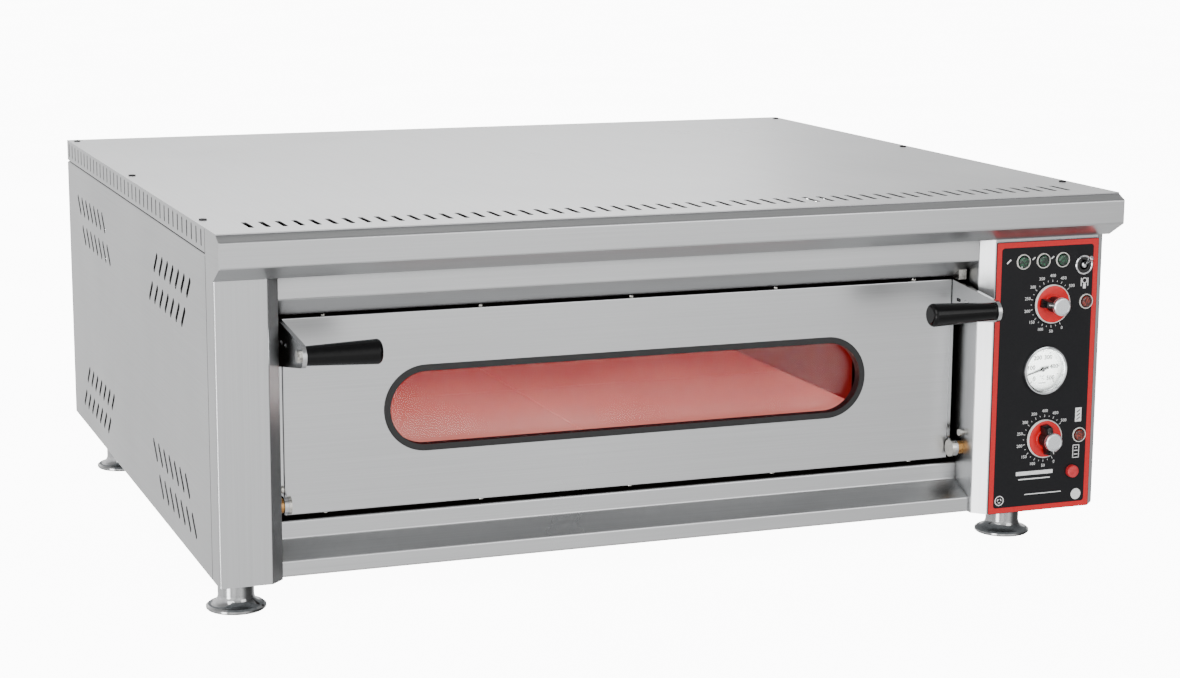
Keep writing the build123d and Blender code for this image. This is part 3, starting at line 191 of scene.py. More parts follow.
def ground_stainless(name, grain, roughness=0.27, shade_from=None, reach=SEAM_SHADE_REACH):
    """Satin stainless, its lines along axis grain, with painted shade in seams, and painted
    near-black shade behind the given depth if one is given.
    """
    material, tree, shader, place = new_finish(name, Metallic=1.0)
    stretch = [1000 / GRIND_LINE_MM] * 3
    stretch[grain] = 1000 / GRIND_STREAK_MM
    along = add_node(tree, "ShaderNodeMapping", {"Scale": stretch}, {"Vector": place})
    lines = add_node(tree, "ShaderNodeTexNoise", {"Scale": 1.0, "Detail": 3.0, "Roughness": 0.65},
                     {"Vector": along.outputs["Vector"]}).outputs["Fac"]
    clouds = add_node(tree, "ShaderNodeTexNoise",
                      {"Scale": 1000 / CLOUD_MM, "Detail": 4.0, "Roughness": 0.55},
                      {"Vector": place}).outputs["Fac"]
    darker = [c * LINE_DEPTH for c in colour(STEEL_TONE)[:3]] + [1]
    tone = add_node(tree, "ShaderNodeMix", {"data_type": "RGBA", 6: darker, 7: colour(STEEL_TONE)},
                    {0: lines}).outputs[2]
    # Painted shade: steel lying behind the given depth, in the shadowed gaps round the door, turns
    # near black.
    if shade_from is not None:
        depth = add_node(tree, "ShaderNodeSeparateXYZ", links={0: place}).outputs["Y"]
        gap_shade = add_node(tree, "ShaderNodeMapRange", {1: shade_from, 2: shade_from + GAP_SHADE_FADE},
                        {0: depth}).outputs[0]
        tone = add_node(tree, "ShaderNodeMix", {"data_type": "RGBA", 7: colour(GAP_SHADE_TONE)},
                        {0: gap_shade, 6: tone}).outputs[2]
    # Painted shade: ambient occlusion darkens the colour in seams and recesses within reach.
    painted_shade_ao = add_node(tree, "ShaderNodeAmbientOcclusion", {"samples": 6, "Distance": reach})
    shade = add_node(tree, "ShaderNodeValToRGB", {"stops": [(0.30, 0.04), (0.62, 1.0)]},
                     {"Fac": painted_shade_ao.outputs["AO"]}).outputs["Color"]
    tone = add_node(tree, "ShaderNodeMix", {"data_type": "RGBA", "blend_type": "MULTIPLY", 0: 1.0},
                    {6: tone, 7: shade}).outputs[2]
    tree.links.new(tone, shader.inputs["Base Color"])
    rough = add_node(tree, "ShaderNodeMapRange",
                     {1: 0.3, 2: 0.75, 3: roughness, 4: roughness + 0.09}, {0: clouds}).outputs[0]
    tree.links.new(rough, shader.inputs["Roughness"])
    bump = add_node(tree, "ShaderNodeBump", {"Strength": 0.10, "Distance": 0.0002},
                    {"Height": lines})
    tree.links.new(bump.outputs["Normal"], shader.inputs["Normal"])
    return material


def coat(material, *nodes):
    """Gives CAD nodes one material."""
    for name in nodes:
        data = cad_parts[name].data
        data.materials.clear()
        data.materials.append(material)


# Sheets round the mouth get painted shade behind the door's face. The lintel, post and column also
# get a longer reach of painted shade in recesses.
coat(ground_stainless("satin_stainless_grain_across", 0), "front_hood", "rear_panel")
coat(ground_stainless("satin_stainless_mouth_trims", 0, shade_from=DOOR_PLANE + 0.001),
     "sill_panel", "door_skin")
coat(ground_stainless("satin_stainless_lintel", 0, shade_from=DOOR_PLANE + 0.001,
                      reach=RECESS_SHADE_REACH),
     "lintel_panel")
coat(ground_stainless("satin_stainless_grain_front_to_back", 1),
     "left_side_panel", "right_side_panel", "top_cover", "hood_end_caps")
coat(ground_stainless("satin_stainless_grain_upright", 2, shade_from=DOOR_PLANE + 0.004,
                      reach=RECESS_SHADE_REACH),
     "left_post", "control_column")
coat(ground_stainless("polished_stainless_bar", 2, roughness=0.16),
     "left_door_arm", "right_door_arm")

# ---------------------------------------------------------------- baking chamber
# The liner, its front frame, the deck rails and the back of the door are stainless painted
# dark brown as the shade in the oven and behind its gaps and slots, with a painted dull red glow
# on the liner. The stones are red-brown firebrick with a painted glow, between rows of red hot
# elements.
def mottled_finish(name, speck_mm, detail, looks, **settings):
    """A finish varied through its looks by an uneven pattern whose specks are speck_mm across."""
    material, tree, shader, place = new_finish(name, **settings)
    pattern = add_node(tree, "ShaderNodeTexNoise", {"Scale": 1000 / speck_mm, "Detail": detail},
                       {"Vector": place})
    vary(tree, shader, pattern.outputs["Fac"], looks)
    return material


# Painted shade: dark brown steel for the frame, the door's back and the rails, which lie in shadow.
shade_dark_steel = mottled_finish("shade_dark_stainless", 111.1, 6.0, {
    "Base Color": [(0.3, 0x2B2522), (0.55, 0x3C332D), (0.8, 0x4A4038)],
    "Roughness": [(0.3, 0.34), (0.7, 0.5)]}, Metallic=1.0)
coat(shade_dark_steel, "chamber_front_frame", "door_inner_pan", "deck_rails")

chamber_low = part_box("chamber_liner")[0]
# Painted shade and painted light: a dark liner whose dull red emission stands in for the light of
# the elements.
lit_liner = mottled_finish("dark_liner_painted_glow", 142.9, 5.0, {
    "Base Color": [(0.3, 0x201412), (0.7, 0x32201C)],
    "Roughness": [(0.3, 0.40), (0.7, 0.55)],
    "Emission Color": [(0.25, 0x98161A), (0.75, 0xBC2A2C)]}, Metallic=1.0, Emission_Strength=0.42)
coat(lit_liner, "chamber_liner")

BRICK_GRAIN_MM, BRICK_CLOUD_MM = 3.846, 333.3
firebrick, tree, shader, place = new_finish("firebrick_painted_glow", Roughness=0.85,
                                            Emission_Strength=0.85)
grains = add_node(tree, "ShaderNodeTexNoise", {"Scale": 1000 / BRICK_GRAIN_MM, "Detail": 3.0},
                  {"Vector": place})
vary(tree, shader, grains.outputs["Fac"], {"Base Color": [(0.35, 0x7A4034), (0.65, 0x965646)]})
# Painted light: the stones glow palest near the door and deep red further back, in soft clouds.
depth = add_node(tree, "ShaderNodeSeparateXYZ", links={0: place}).outputs["Y"]
reach = add_node(tree, "ShaderNodeMapRange", {1: chamber_low.y + 0.15, 2: chamber_low.y + 0.75},
                 {0: depth}).outputs[0]
cloud = add_node(tree, "ShaderNodeTexNoise", {"Scale": 1000 / BRICK_CLOUD_MM, "Detail": 2.0},
                 {"Vector": place})
swirl = add_node(tree, "ShaderNodeMath", {"operation": "MULTIPLY_ADD", 1: 0.5, 2: -0.25},
                 {0: cloud.outputs["Fac"]})
glow = add_node(tree, "ShaderNodeMath", {"operation": "ADD"}, {0: reach, 1: swirl.outputs[0]})
vary(tree, shader, glow.outputs[0], {
    "Emission Color": [(0.0, 0xFFC0B8), (0.25, 0xF48880), (0.6, 0xB82426), (1.0, 0x8C0E12)]})
coat(firebrick, "baking_stones")

hot_sheath = mottled_finish("red_hot_element_sheath", 8.33, 3.0, {
    "Base Color": [(0.3, 0x2A2422), (0.7, 0x4A3D38)],
    "Emission Color": [(0.3, 0xC03A28), (0.7, 0xE0553A)]},
    Metallic=0.6, Roughness=0.6, Emission_Strength=2.0)
coat(hot_sheath, "top_heating_elements", "bottom_heating_elements")

FIBRE_MM = 2.5
wool, tree, shader, place = new_finish("rock_wool_board", Roughness=1.0)
fibres = add_node(tree, "ShaderNodeTexNoise",
                  {"Scale": 1000 / FIBRE_MM, "Detail": 4.0, "Distortion": 2.0}, {"Vector": place})
vary(tree, shader, fibres.outputs["Fac"], {"Base Color": [(0.3, 0x1E1B18), (0.7, 0x3A352E)]})
coat(wool, "chamber_insulation", "door_insulation")

glaze = mottled_finish("unglazed_lamp_porcelain", 3.33, 2.0, {
    "Base Color": [(0.3, 0xD8D2C6), (0.7, 0xE8E4DA)]}, Roughness=0.5)
coat(glaze, "oven_lamp_holder")

# ---------------------------------------------------------------- window
# A clear toughened pane outside, and inside a heat reflecting one whose coating looks pink.
# They sit in a thick black silicone rubber gasket, extruded with a satin skin and pushed over
# the edge of the stadium hole in the door.
clear_glass = mottled_finish("clear_toughened_glass", 142.9, 5.0, {
    "Roughness": [(0.3, 0.0), (0.8, 0.05)],
    "Base Color": [(0.3, 0xFBFDFC), (0.8, 0xF2F6F4)]}, Transmission_Weight=1.0, IOR=1.12)
coat(clear_glass, "outer_glass", "oven_lamp_glass", "gauge_glass")

coated_glass = mottled_finish("heat_reflecting_glass", 200, 4.0, {
    "Roughness": [(0.3, 0.0), (0.8, 0.04)],
    "Base Color": [(0.3, 0xF2CCC8), (0.8, 0xEAC0BC)]}, Transmission_Weight=1.0, IOR=1.12)
coat(coated_glass, "inner_glass")

silicone = mottled_finish("black_silicone_rubber", 6.25, 4.0, {
    "Base Color": [(0.3, 0x0D0D0E), (0.7, 0x1B1B1C)],
    "Roughness": [(0.3, 0.36), (0.7, 0.52)]})
coat(silicone, "window_gasket", "door_seal")

# ---------------------------------------------------------------- tray, chassis and bolts
# Hidden structure and fasteners are zinc coated steel, dull and slightly blue, with a soft
# crystal bloom from the bath. The bolts are machined, so theirs is brighter.
CRYSTAL_MM = 11.11
zinc_coat, tree, shader, place = new_finish("dull_zinc_coated_steel", Metallic=0.9, Roughness=0.45)
crystals = add_node(tree, "ShaderNodeTexVoronoi", {"Scale": 1000 / CRYSTAL_MM}, {"Vector": place})
vary(tree, shader, crystals.outputs["Distance"], {"Base Color": [(0.0, 0x8E9295), (1.0, 0xAEB2B5)]})
coat(zinc_coat, "base_tray", "chassis_frame")

bolt_steel = mottled_finish("bright_zinc_bolt", 2, 3.0, {
    "Base Color": [(0.3, 0xB4B2AC), (0.7, 0xDAD8D2)],
    "Roughness": [(0.3, 0.14), (0.7, 0.28)]}, Metallic=1.0)
coat(bolt_steel, "door_edge_screws", "grip_bolts", "hinge_bolts", "recess_fittings")

brass = mottled_finish("worn_turned_brass", 4.55, 4.0, {
    "Base Color": [(0.3, 0x9C6B3C), (0.7, 0xD2A264)],
    "Roughness": [(0.3, 0.22), (0.7, 0.4)]}, Metallic=1.0)
coat(brass, "hinge_bushes")

# ---------------------------------------------------------------- feet
# Turned steel feet with wide flanges, chrome plated bright over fine lathe rings.
SMEAR_MM = 16.67
foot_chrome, tree, shader, place = new_finish("bright_chrome_plate", Metallic=1.0)
smear = add_node(tree, "ShaderNodeTexNoise", {"Scale": 1000 / SMEAR_MM, "Detail": 4.0},
                 {"Vector": place})
plate = add_node(tree, "ShaderNodeValToRGB", {"stops": [(0.3, 0xCCCDCE), (0.7, 0xE4E5E6)]},
                 {"Fac": smear.outputs["Fac"]}).outputs["Color"]
# Painted shade: the plating is darkened wherever ambient occlusion finds surfaces within 5 cm.
painted_shade_ao = add_node(tree, "ShaderNodeAmbientOcclusion", {"samples": 6, "Distance": 0.05})
shade = add_node(tree, "ShaderNodeValToRGB", {"stops": [(0.25, 0.03), (0.75, 1.0)]},
                 {"Fac": painted_shade_ao.outputs["AO"]}).outputs["Color"]
plate = add_node(tree, "ShaderNodeMix", {"data_type": "RGBA", "blend_type": "MULTIPLY", 0: 1.0},
                 {6: plate, 7: shade})
tree.links.new(plate.outputs[2], shader.inputs["Base Color"])
vary(tree, shader, smear.outputs["Fac"], {"Roughness": [(0.35, 0.07), (0.7, 0.15)]})
coat(foot_chrome, "foot_front_left", "foot_front_right", "foot_rear_left", "foot_rear_right")

# ---------------------------------------------------------------- grips
# Moulded black phenolic with a polished skin that handling has softened, and a mould line.
phenolic = mottled_finish("black_phenolic_moulding", 5.56, 5.0, {
    "Base Color": [(0.3, 0x050506), (0.7, 0x0B0B0C)],
    "Roughness": [(0.3, 0.14), (0.7, 0.24)]}, Specular_IOR_Level=0.2)
coat(phenolic, "left_grip", "right_grip")

# ---------------------------------------------------------------- printed panel
# The control panel is a thin aluminium plate, screen printed satin charcoal with a red border
# and white marks. The marks are plain numbers and symbols, and the inks stand up as thin films.
panel_low, panel_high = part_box("control_fascia")
INK = 0.00012
INK_GAP = 0.00002
BORDER = 0.0075
BORDER_CORNER = 0.004
TYPE_PER_HEIGHT = 1.4
ink_plane = panel_low.y - INK_GAP

panel_print = mottled_finish("satin_charcoal_print", 1.43, 2.0, {
    "Base Color": [(0.3, 0x0E0E11), (0.7, 0x161619)],
    "Roughness": [(0.3, 0.36), (0.7, 0.48)]}, Specular_IOR_Level=0.22)
coat(panel_print, "control_fascia")


def ink(name, low, high):
    """Screen ink of one colour, uneven between two tones."""
    return mottled_finish(name, 2.0, 3.0, {"Base Color": [(0.3, low), (0.7, high)]}, Roughness=0.4)


def finish_piece(piece, name, body, material, bevel=0.0):
    """Applies a piece's place, adds an optional edge bevel, and hands it to the frame."""
    bpy.ops.object.mode_set(mode="OBJECT")
    bpy.ops.object.select_all(action="DESELECT")
    piece.select_set(True)
    bpy.context.view_layer.objects.active = piece
    bpy.ops.object.transform_apply(location=True, rotation=True, scale=True)
    if bevel:
        edge = piece.modifiers.new("edge", "BEVEL")
        edge.width, edge.segments, edge.limit_method = bevel, 3, "ANGLE"
        bpy.ops.object.modifier_apply(modifier=edge.name)
    piece.name = name
    if material is not None:
        piece.data.materials.clear()
        piece.data.materials.append(material)
    bpy.ops.object.shade_smooth_by_angle(angle=math.radians(35))
    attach(piece, body)
    return piece


def join_pieces(pieces):
    """Joins loose pieces into the first one and returns it."""
    bpy.ops.object.select_all(action="DESELECT")
    for piece in pieces:
        piece.select_set(True)
    bpy.context.view_layer.objects.active = pieces[0]
    bpy.ops.object.join()
    return bpy.context.object


def printed_text(text, x, z, height, plane=ink_plane, bold=0.0):
    """Generic number set flat on the panel, centred at x, z."""
    bpy.ops.object.select_all(action="DESELECT")
    bpy.ops.object.text_add(location=(x, plane - INK / 2, z), rotation=(math.pi / 2, 0, 0))
    word = bpy.context.object
    word.data.body, word.data.size = text, height * TYPE_PER_HEIGHT
    word.data.align_x, word.data.align_y = "CENTER", "CENTER"
    word.data.extrude, word.data.resolution_u, word.data.offset = INK / 2, 2, bold
    bpy.ops.object.convert(target="MESH")
    return bpy.context.object


def printed_bar(x, z, width, tall, turn=0.0, plane=ink_plane, thickness=INK):
    """Small printed bar, turned in the panel's plane by an angle in degrees."""
    bpy.ops.object.select_all(action="DESELECT")
    bpy.ops.mesh.primitive_cube_add(size=1, location=(x, plane - thickness / 2, z),
                                    rotation=(0, math.radians(-turn), 0),
                                    scale=(width, thickness, tall))
    return bpy.context.object


def printed_ring(x, z, outer, inner, steps=32):
    """Printed ring, or a disc when inner is 0."""
    bpy.ops.object.select_all(action="DESELECT")
    bpy.ops.mesh.primitive_circle_add(vertices=steps, radius=outer, fill_type="NGON",
                                      location=(x, ink_plane, z), rotation=(math.pi / 2, 0, 0))
    disc = bpy.context.object
    bpy.ops.object.mode_set(mode="EDIT")
    if inner > 0:
        bpy.ops.mesh.inset(thickness=outer - inner)
        bpy.ops.mesh.delete(type="FACE")
        bpy.ops.mesh.select_all(action="SELECT")
    bpy.ops.mesh.extrude_region_move(TRANSFORM_OT_translate={"value": (0, -INK, 0)})
    bpy.ops.mesh.select_all(action="SELECT")
    bpy.ops.mesh.normals_make_consistent(inside=False)
    bpy.ops.object.mode_set(mode="OBJECT")
    return disc


loops = []
for margin, corner in ((0.0005, 0.0015), (BORDER, BORDER_CORNER)):
    bpy.ops.object.select_all(action="DESELECT")
    bpy.ops.mesh.primitive_plane_add(
        size=1, rotation=(math.pi / 2, 0, 0),
        location=((panel_low.x + panel_high.x) / 2, ink_plane, (panel_low.z + panel_high.z) / 2))
    loop = bpy.context.object
    loop.scale = (panel_high.x - panel_low.x - 2 * margin,
                  panel_high.z - panel_low.z - 2 * margin, 1)
    bpy.ops.object.transform_apply(location=True, rotation=True, scale=True)
    bpy.ops.object.mode_set(mode="EDIT")
    bpy.ops.mesh.select_all(action="SELECT")
    bpy.ops.mesh.bevel(affect="VERTICES", offset=corner, segments=4)
    bpy.ops.mesh.select_all(action="SELECT")
    bpy.ops.mesh.delete(type="ONLY_FACE")
    bpy.ops.object.mode_set(mode="OBJECT")
    loops.append(loop)
border = join_pieces(loops)
bpy.ops.object.mode_set(mode="EDIT")
bpy.ops.mesh.select_all(action="SELECT")
bpy.ops.mesh.bridge_edge_loops()
bpy.ops.mesh.select_all(action="SELECT")
bpy.ops.mesh.extrude_region_move(TRANSFORM_OT_translate={"value": (0, -INK, 0)})
bpy.ops.mesh.select_all(action="SELECT")
bpy.ops.mesh.normals_make_consistent(inside=False)
finish_piece(border, "panel_border", "oven",
             ink("red_screen_ink", 0xC2040E, 0xD00A14))

# White ink: numbers and ticks round both knobs, the symbols by the lamps, a blank round label,
# a ring mark and three plain rules.
SCALE_TICK_R, SCALE_NUMBER_R = 0.0305, 0.0372
SCALE_START, SCALE_STEP = 297.0, -26.0
SCALE_NUMBER_H, TICK_W = 0.0042, 0.0006
LENS_R = 0.0072


def middle_of(node):
    """Middle of a CAD node's box."""
    low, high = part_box(node)
    return (low + high) / 2


def knob_scale(hub, labels):
    """Numbers set clockwise round a knob, with fine ticks between the first and last."""
    marks = []
    for i, label in enumerate(labels):
        turn = math.radians(SCALE_START + i * SCALE_STEP)
        marks.append(printed_text(label, hub.x + SCALE_NUMBER_R * math.cos(turn),
                                  hub.z + SCALE_NUMBER_R * math.sin(turn), SCALE_NUMBER_H))
    for i in range(2 * len(labels) - 1):
        angle = SCALE_START + i * SCALE_STEP / 2
        turn = math.radians(angle)
        marks.append(printed_bar(hub.x + SCALE_TICK_R * math.cos(turn),
                                 hub.z + SCALE_TICK_R * math.sin(turn),
                                 0.0032 if i % 2 == 0 else 0.0018, TICK_W, angle))
    return marks


upper_hub, lower_hub = middle_of("upper_knob_dial"), middle_of("lower_knob_dial")
lamp_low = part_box("amber_lamp_lenses")[0]
amber_x = middle_of("amber_lamp_lenses").x
green_low, green_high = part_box("green_lamp_lenses")
green_z = middle_of("green_lamp_lenses").z
numbers = ["0"] + [str(50 * i) for i in range(1, 11)]
marks = knob_scale(upper_hub, numbers) + knob_scale(lower_hub, numbers)

# Symbols between the green lamps, and the lamp symbol under the switch.
marks.append(printed_bar(green_low.x - 0.014, green_z + 0.001, 0.0075, 0.0022, 40))
for x in (green_low.x + 0.023, green_high.x - 0.022):
    marks.append(printed_bar(x, green_z + 0.0035, 0.0050, 0.0016, 40))
symbol_x, symbol_z = middle_of("light_switch").x + 0.002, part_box("light_switch")[0].z - 0.011
marks.append(printed_ring(symbol_x, symbol_z + 0.003, 0.0040, 0.0029, steps=20))
marks.append(printed_bar(symbol_x, symbol_z - 0.0045, 0.0042, 0.0065))
marks.append(printed_bar(symbol_x - 0.0050, symbol_z + 0.001, 0.0012, 0.0110))
marks.append(printed_bar(symbol_x + 0.0050, symbol_z + 0.001, 0.0012, 0.0110))

# Top heat symbol: a filled label with three waves cut as charcoal bars. Bottom heat: an outline.
label_z = lamp_low.z + LENS_R + 0.0275
marks.append(printed_bar(amber_x - 0.003, label_z, 0.0095, 0.0190))
frame_z = lamp_low.z + LENS_R - 0.0225
for dx, dz, width, tall in ((0, 0.0085, 0.0100, 0.0010), (0, -0.0085, 0.0100, 0.0010),
                            (-0.0045, 0, 0.0010, 0.0170), (0.0045, 0, 0.0010, 0.0170),
                            (0, -0.004, 0.0056, 0.0012), (0, 0.001, 0.0056, 0.0012),
                            (0, 0.005, 0.0030, 0.0012)):
    marks.append(printed_bar(amber_x - 0.0045 + dx, frame_z + dz, width, tall))

# Foot of the panel: a ring mark on the left, a blank round label on the right, rules between.
ring_x, foot_z = panel_low.x + 0.0165, panel_low.z + 0.0175
marks.append(printed_ring(ring_x, foot_z, 0.0068, 0.0056, steps=24))
for dx, dz, turn in ((-0.0022, 0.0012, 60), (0.0022, 0.0012, -60), (0, -0.0026, 0)):
    marks.append(printed_bar(ring_x + dx, foot_z + dz, 0.0034, 0.0012, turn))
marks.append(printed_ring(panel_high.x - 0.0195, foot_z, 0.0075, 0.0))
rule_x = (panel_low.x + panel_high.x) / 2 - 0.004
for dx, dz, width, tall in ((-0.004, 0.0520, 0.0560, 0.0052), (-0.004, 0.0440, 0.0480, 0.0016),
                            (0.010, 0.0230, 0.0560, 0.0012)):
    marks.append(printed_bar(rule_x + dx, panel_low.z + dz, width, tall))
finish_piece(join_pieces(marks), "panel_marks", "oven",
             ink("white_screen_ink", 0xDADADA, 0xF2F2F2))

waves = [printed_bar(amber_x - 0.003, label_z + dz, 0.0062, 0.0012, 35, plane=ink_plane - 2 * INK)
         for dz in (-0.0050, 0.0, 0.0050)]
finish_piece(join_pieces(waves), "panel_heat_waves", "oven",
             ink("charcoal_screen_ink", 0x17171B, 0x202024))

# ---------------------------------------------------------------- knobs
# Each knob is a red disc in a white moulded rim, a black bar grip with a white pointer line,
# and a turned aluminium cap on its round hub. All of it turns on the thermostat's shaft.
RIM_R, RIM_DEPTH = 0.026, 0.0042
FACE_R = 0.0245
BAR_L, BAR_W, BAR_H = 0.041, 0.0125, 0.0170
CAP_R, CAP_H = 0.0120, 0.0075
BORE_R, HUB_R, HUB_H = 0.0032, 0.0105, 0.0250
GRIP_OUT, CAP_OUT = 0.0040, 0.0030
POINTER_R, POINTER_L, POINTER_W, POINTER_INK = 0.0140, 0.0062, 0.0012, 0.0002

white_rim = mottled_finish("white_gloss_moulding", 8.33, 3.0, {
    "Base Color": [(0.3, 0xE6E4E0), (0.7, 0xF6F5F2)]}, Roughness=0.3)
red_face = mottled_finish("red_gloss_moulding", 7.14, 4.0, {
    "Base Color": [(0.3, 0xCC020C), (0.7, 0xDC0812)]}, Roughness=0.32)
black_grip = mottled_finish("black_satin_moulding", 5, 4.0, {
    "Base Color": [(0.3, 0x070708), (0.7, 0x111112)],
    "Roughness": [(0.3, 0.26), (0.7, 0.42)]})
turned_cap = mottled_finish("turned_aluminium", 1.11, 2.0, {
    "Base Color": [(0.3, 0xE0E4E8), (0.7, 0xF8FAFC)],
    "Roughness": [(0.3, 0.24), (0.7, 0.38)]}, Metallic=1.0)


def turned(name, profile, hub, steps=48):
    """Spins a profile of (radius, distance in front of hub) round the line through hub along y."""
    mesh = bpy.data.meshes.new(name)
    mesh.from_pydata([(hub.x + r, hub.y - out, hub.z) for r, out in profile],
                     [(i, i + 1) for i in range(len(profile) - 1)], [])
    piece = bpy.data.objects.new(name, mesh)
    bpy.context.collection.objects.link(piece)
    bpy.ops.object.select_all(action="DESELECT")
    piece.select_set(True)
    bpy.context.view_layer.objects.active = piece
    bpy.ops.object.mode_set(mode="EDIT")
    bpy.ops.mesh.select_all(action="SELECT")
    bpy.ops.mesh.spin(steps=steps, angle=2 * math.pi, center=hub, axis=(0, 1, 0))
    bpy.ops.mesh.select_all(action="SELECT")
    bpy.ops.mesh.remove_doubles(threshold=0.00001)
    bpy.ops.mesh.normals_make_consistent(inside=False)
    bpy.ops.object.mode_set(mode="OBJECT")
    return piece


def dressed_knob(label, body, bar_turn):
    """The visible pieces of one knob, round the middle of its CAD disc."""
    low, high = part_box(body + "_dial")
    hub = Vector(((low.x + high.x) / 2, high.y, (low.z + high.z) / 2))
    rim = turned(label + "_rim", [
        (BORE_R, 0.0), (RIM_R - 0.0006, 0.0), (RIM_R, 0.0006), (RIM_R, 0.0030),
        (RIM_R - 0.0008, RIM_DEPTH), (FACE_R + 0.0004, RIM_DEPTH), (FACE_R, 0.0036),
        (FACE_R, 0.0022), (BORE_R, 0.0022), (BORE_R, 0.0)], hub)
    finish_piece(rim, label + "_rim", body, white_rim)
    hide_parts(body + "_dial")
    face = turned(label + "_face", [
        (BORE_R, 0.0023), (FACE_R - 0.0002, 0.0023), (FACE_R - 0.0002, 0.0031),
        (FACE_R - 0.0012, 0.0034), (0.0132, 0.0034), (0.0126, 0.0040),
        (BORE_R, 0.0040), (BORE_R, 0.0023)], hub)
    finish_piece(face, label + "_face", body, red_face)

    bpy.ops.object.select_all(action="DESELECT")
    bpy.ops.mesh.primitive_cube_add(size=1, location=(0, -BAR_H / 2, 0),
                                    scale=(BAR_L, BAR_H, BAR_W))
    bar = bpy.context.object
    bpy.ops.object.transform_apply(location=True, scale=True)
    for vertex in bar.data.vertices:
        if vertex.co.y < -BAR_H / 2:
            vertex.co.z *= 0.62
            vertex.co.x *= 0.93
    bpy.ops.object.mode_set(mode="EDIT")
    bpy.ops.mesh.select_all(action="SELECT")
    bpy.ops.mesh.bevel(offset=0.0016, segments=3, affect="EDGES")
    bpy.ops.object.mode_set(mode="OBJECT")
    hub_top = HUB_H - CAP_H + 0.001
    hub_piece = turned(label + "_hub", [
        (0.0, 0.0), (HUB_R, 0.0), (HUB_R - 0.0003, 0.0170), (HUB_R - 0.0007, hub_top),
        (0.0, hub_top)], Vector((0, 0, 0)), steps=32)
    bar = join_pieces([bar, hub_piece])
    bar.rotation_euler = (0, math.radians(-bar_turn), 0)
    bar.location = hub - Vector((0, GRIP_OUT, 0))
    finish_piece(bar, label + "_grip", body, black_grip)
    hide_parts(body)

    line = printed_bar(hub.x - POINTER_R * math.cos(math.radians(bar_turn)),
                       hub.z - POINTER_R * math.sin(math.radians(bar_turn)),
                       POINTER_L, POINTER_W, bar_turn, plane=hub.y - GRIP_OUT - BAR_H,
                       thickness=POINTER_INK)
    finish_piece(line, label + "_pointer", body, white_rim)
    cap = turned(label + "_cap", [
        (0.0, HUB_H - CAP_H), (CAP_R - 0.0008, HUB_H - CAP_H), (CAP_R, HUB_H - CAP_H + 0.0008),
        (CAP_R, HUB_H - 0.0012), (CAP_R - 0.0010, HUB_H - 0.0002), (CAP_R - 0.0022, HUB_H),
        (CAP_R - 0.0026, HUB_H - 0.0006), (0.0, HUB_H - 0.0006)],
        hub - Vector((0, CAP_OUT, 0)))
    finish_piece(cap, label + "_cap", body, turned_cap)


dressed_knob("upper_control", "upper_knob", -8)
dressed_knob("lower_control", "lower_knob", 100)

# ---------------------------------------------------------------- temperature gauge
# A capillary gauge: a pressed and polished bezel rolled over the glass, a white printed dial
# with grey numbers, and a black stamped needle on a small boss.
dial_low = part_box("gauge_dial")[0]
gauge = Vector((middle_of("gauge_case").x, panel_low.y, middle_of("gauge_case").z))
BEZEL_R, BEZEL_OUT = 0.0328, 0.0064
bezel_steel = mottled_finish("polished_bezel_steel", 11.1, 3.0, {
    "Base Color": [(0.3, 0xC6C8CA), (0.7, 0xDCDEE0)],
    "Roughness": [(0.3, 0.10), (0.7, 0.20)]}, Metallic=1.0)
coat(bezel_steel, "gauge_case")
bezel = turned("gauge_bezel", [
    (BEZEL_R - 0.0004, 0.0), (BEZEL_R, 0.0006), (BEZEL_R, BEZEL_OUT - 0.0022),
    (BEZEL_R - 0.0008, BEZEL_OUT - 0.0006), (BEZEL_R - 0.0022, BEZEL_OUT),
    (BEZEL_R - 0.0036, BEZEL_OUT - 0.0008), (BEZEL_R - 0.0040, BEZEL_OUT - 0.0026),
    (BEZEL_R - 0.0046, BEZEL_OUT - 0.0030), (BEZEL_R - 0.0046, -0.0030),
    (BEZEL_R - 0.0034, -0.0030), (BEZEL_R - 0.0034, 0.0), (BEZEL_R - 0.0004, 0.0)],
    gauge, steps=64)
finish_piece(bezel, "gauge_bezel", "oven", bezel_steel)
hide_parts("gauge_case")

dial_white = mottled_finish("white_printed_dial", 3.33, 3.0, {
    "Base Color": [(0.3, 0xF2F2F0), (0.7, 0xFBFBFA)]}, Roughness=0.45)
coat(dial_white, "gauge_dial")
dial_plane = dial_low.y - INK_GAP
GAUGE_START, GAUGE_SWEEP = 225.0, -270.0
GAUGE_TICKS, GAUGE_TICK_R = 50, 0.0258
GAUGE_NUMBER_R, GAUGE_NUMBER_H, GAUGE_BOLD = 0.0175, 0.0060, 0.00018
gauge_marks = []
for i in range(GAUGE_TICKS + 1):
    angle = GAUGE_START + GAUGE_SWEEP * i / GAUGE_TICKS
    turn = math.radians(angle)
    length = 0.0034 if i % 10 == 0 else (0.0024 if i % 5 == 0 else 0.0014)
    reach_r = GAUGE_TICK_R - length / 2
    gauge_marks.append(printed_bar(gauge.x + reach_r * math.cos(turn),
                                   gauge.z + reach_r * math.sin(turn),
                                   length, 0.0010 if i % 5 == 0 else 0.0005, angle,
                                   plane=dial_plane))
for i in range(6):
    turn = math.radians(GAUGE_START + GAUGE_SWEEP * i / 5)
    gauge_marks.append(printed_text(str(100 * i), gauge.x + GAUGE_NUMBER_R * math.cos(turn),
                                    gauge.z + GAUGE_NUMBER_R * math.sin(turn), GAUGE_NUMBER_H,
                                    plane=dial_plane, bold=GAUGE_BOLD))
gauge_marks.append(printed_text("°C", gauge.x, gauge.z - 0.0115, 0.0055, plane=dial_plane))
gauge_marks.append(printed_bar(gauge.x, gauge.z - 0.0185, 0.0120, 0.0010, plane=dial_plane))
finish_piece(join_pieces(gauge_marks), "gauge_scale", "oven",
             ink("grey_dial_ink", 0x1E1E20, 0x343436))

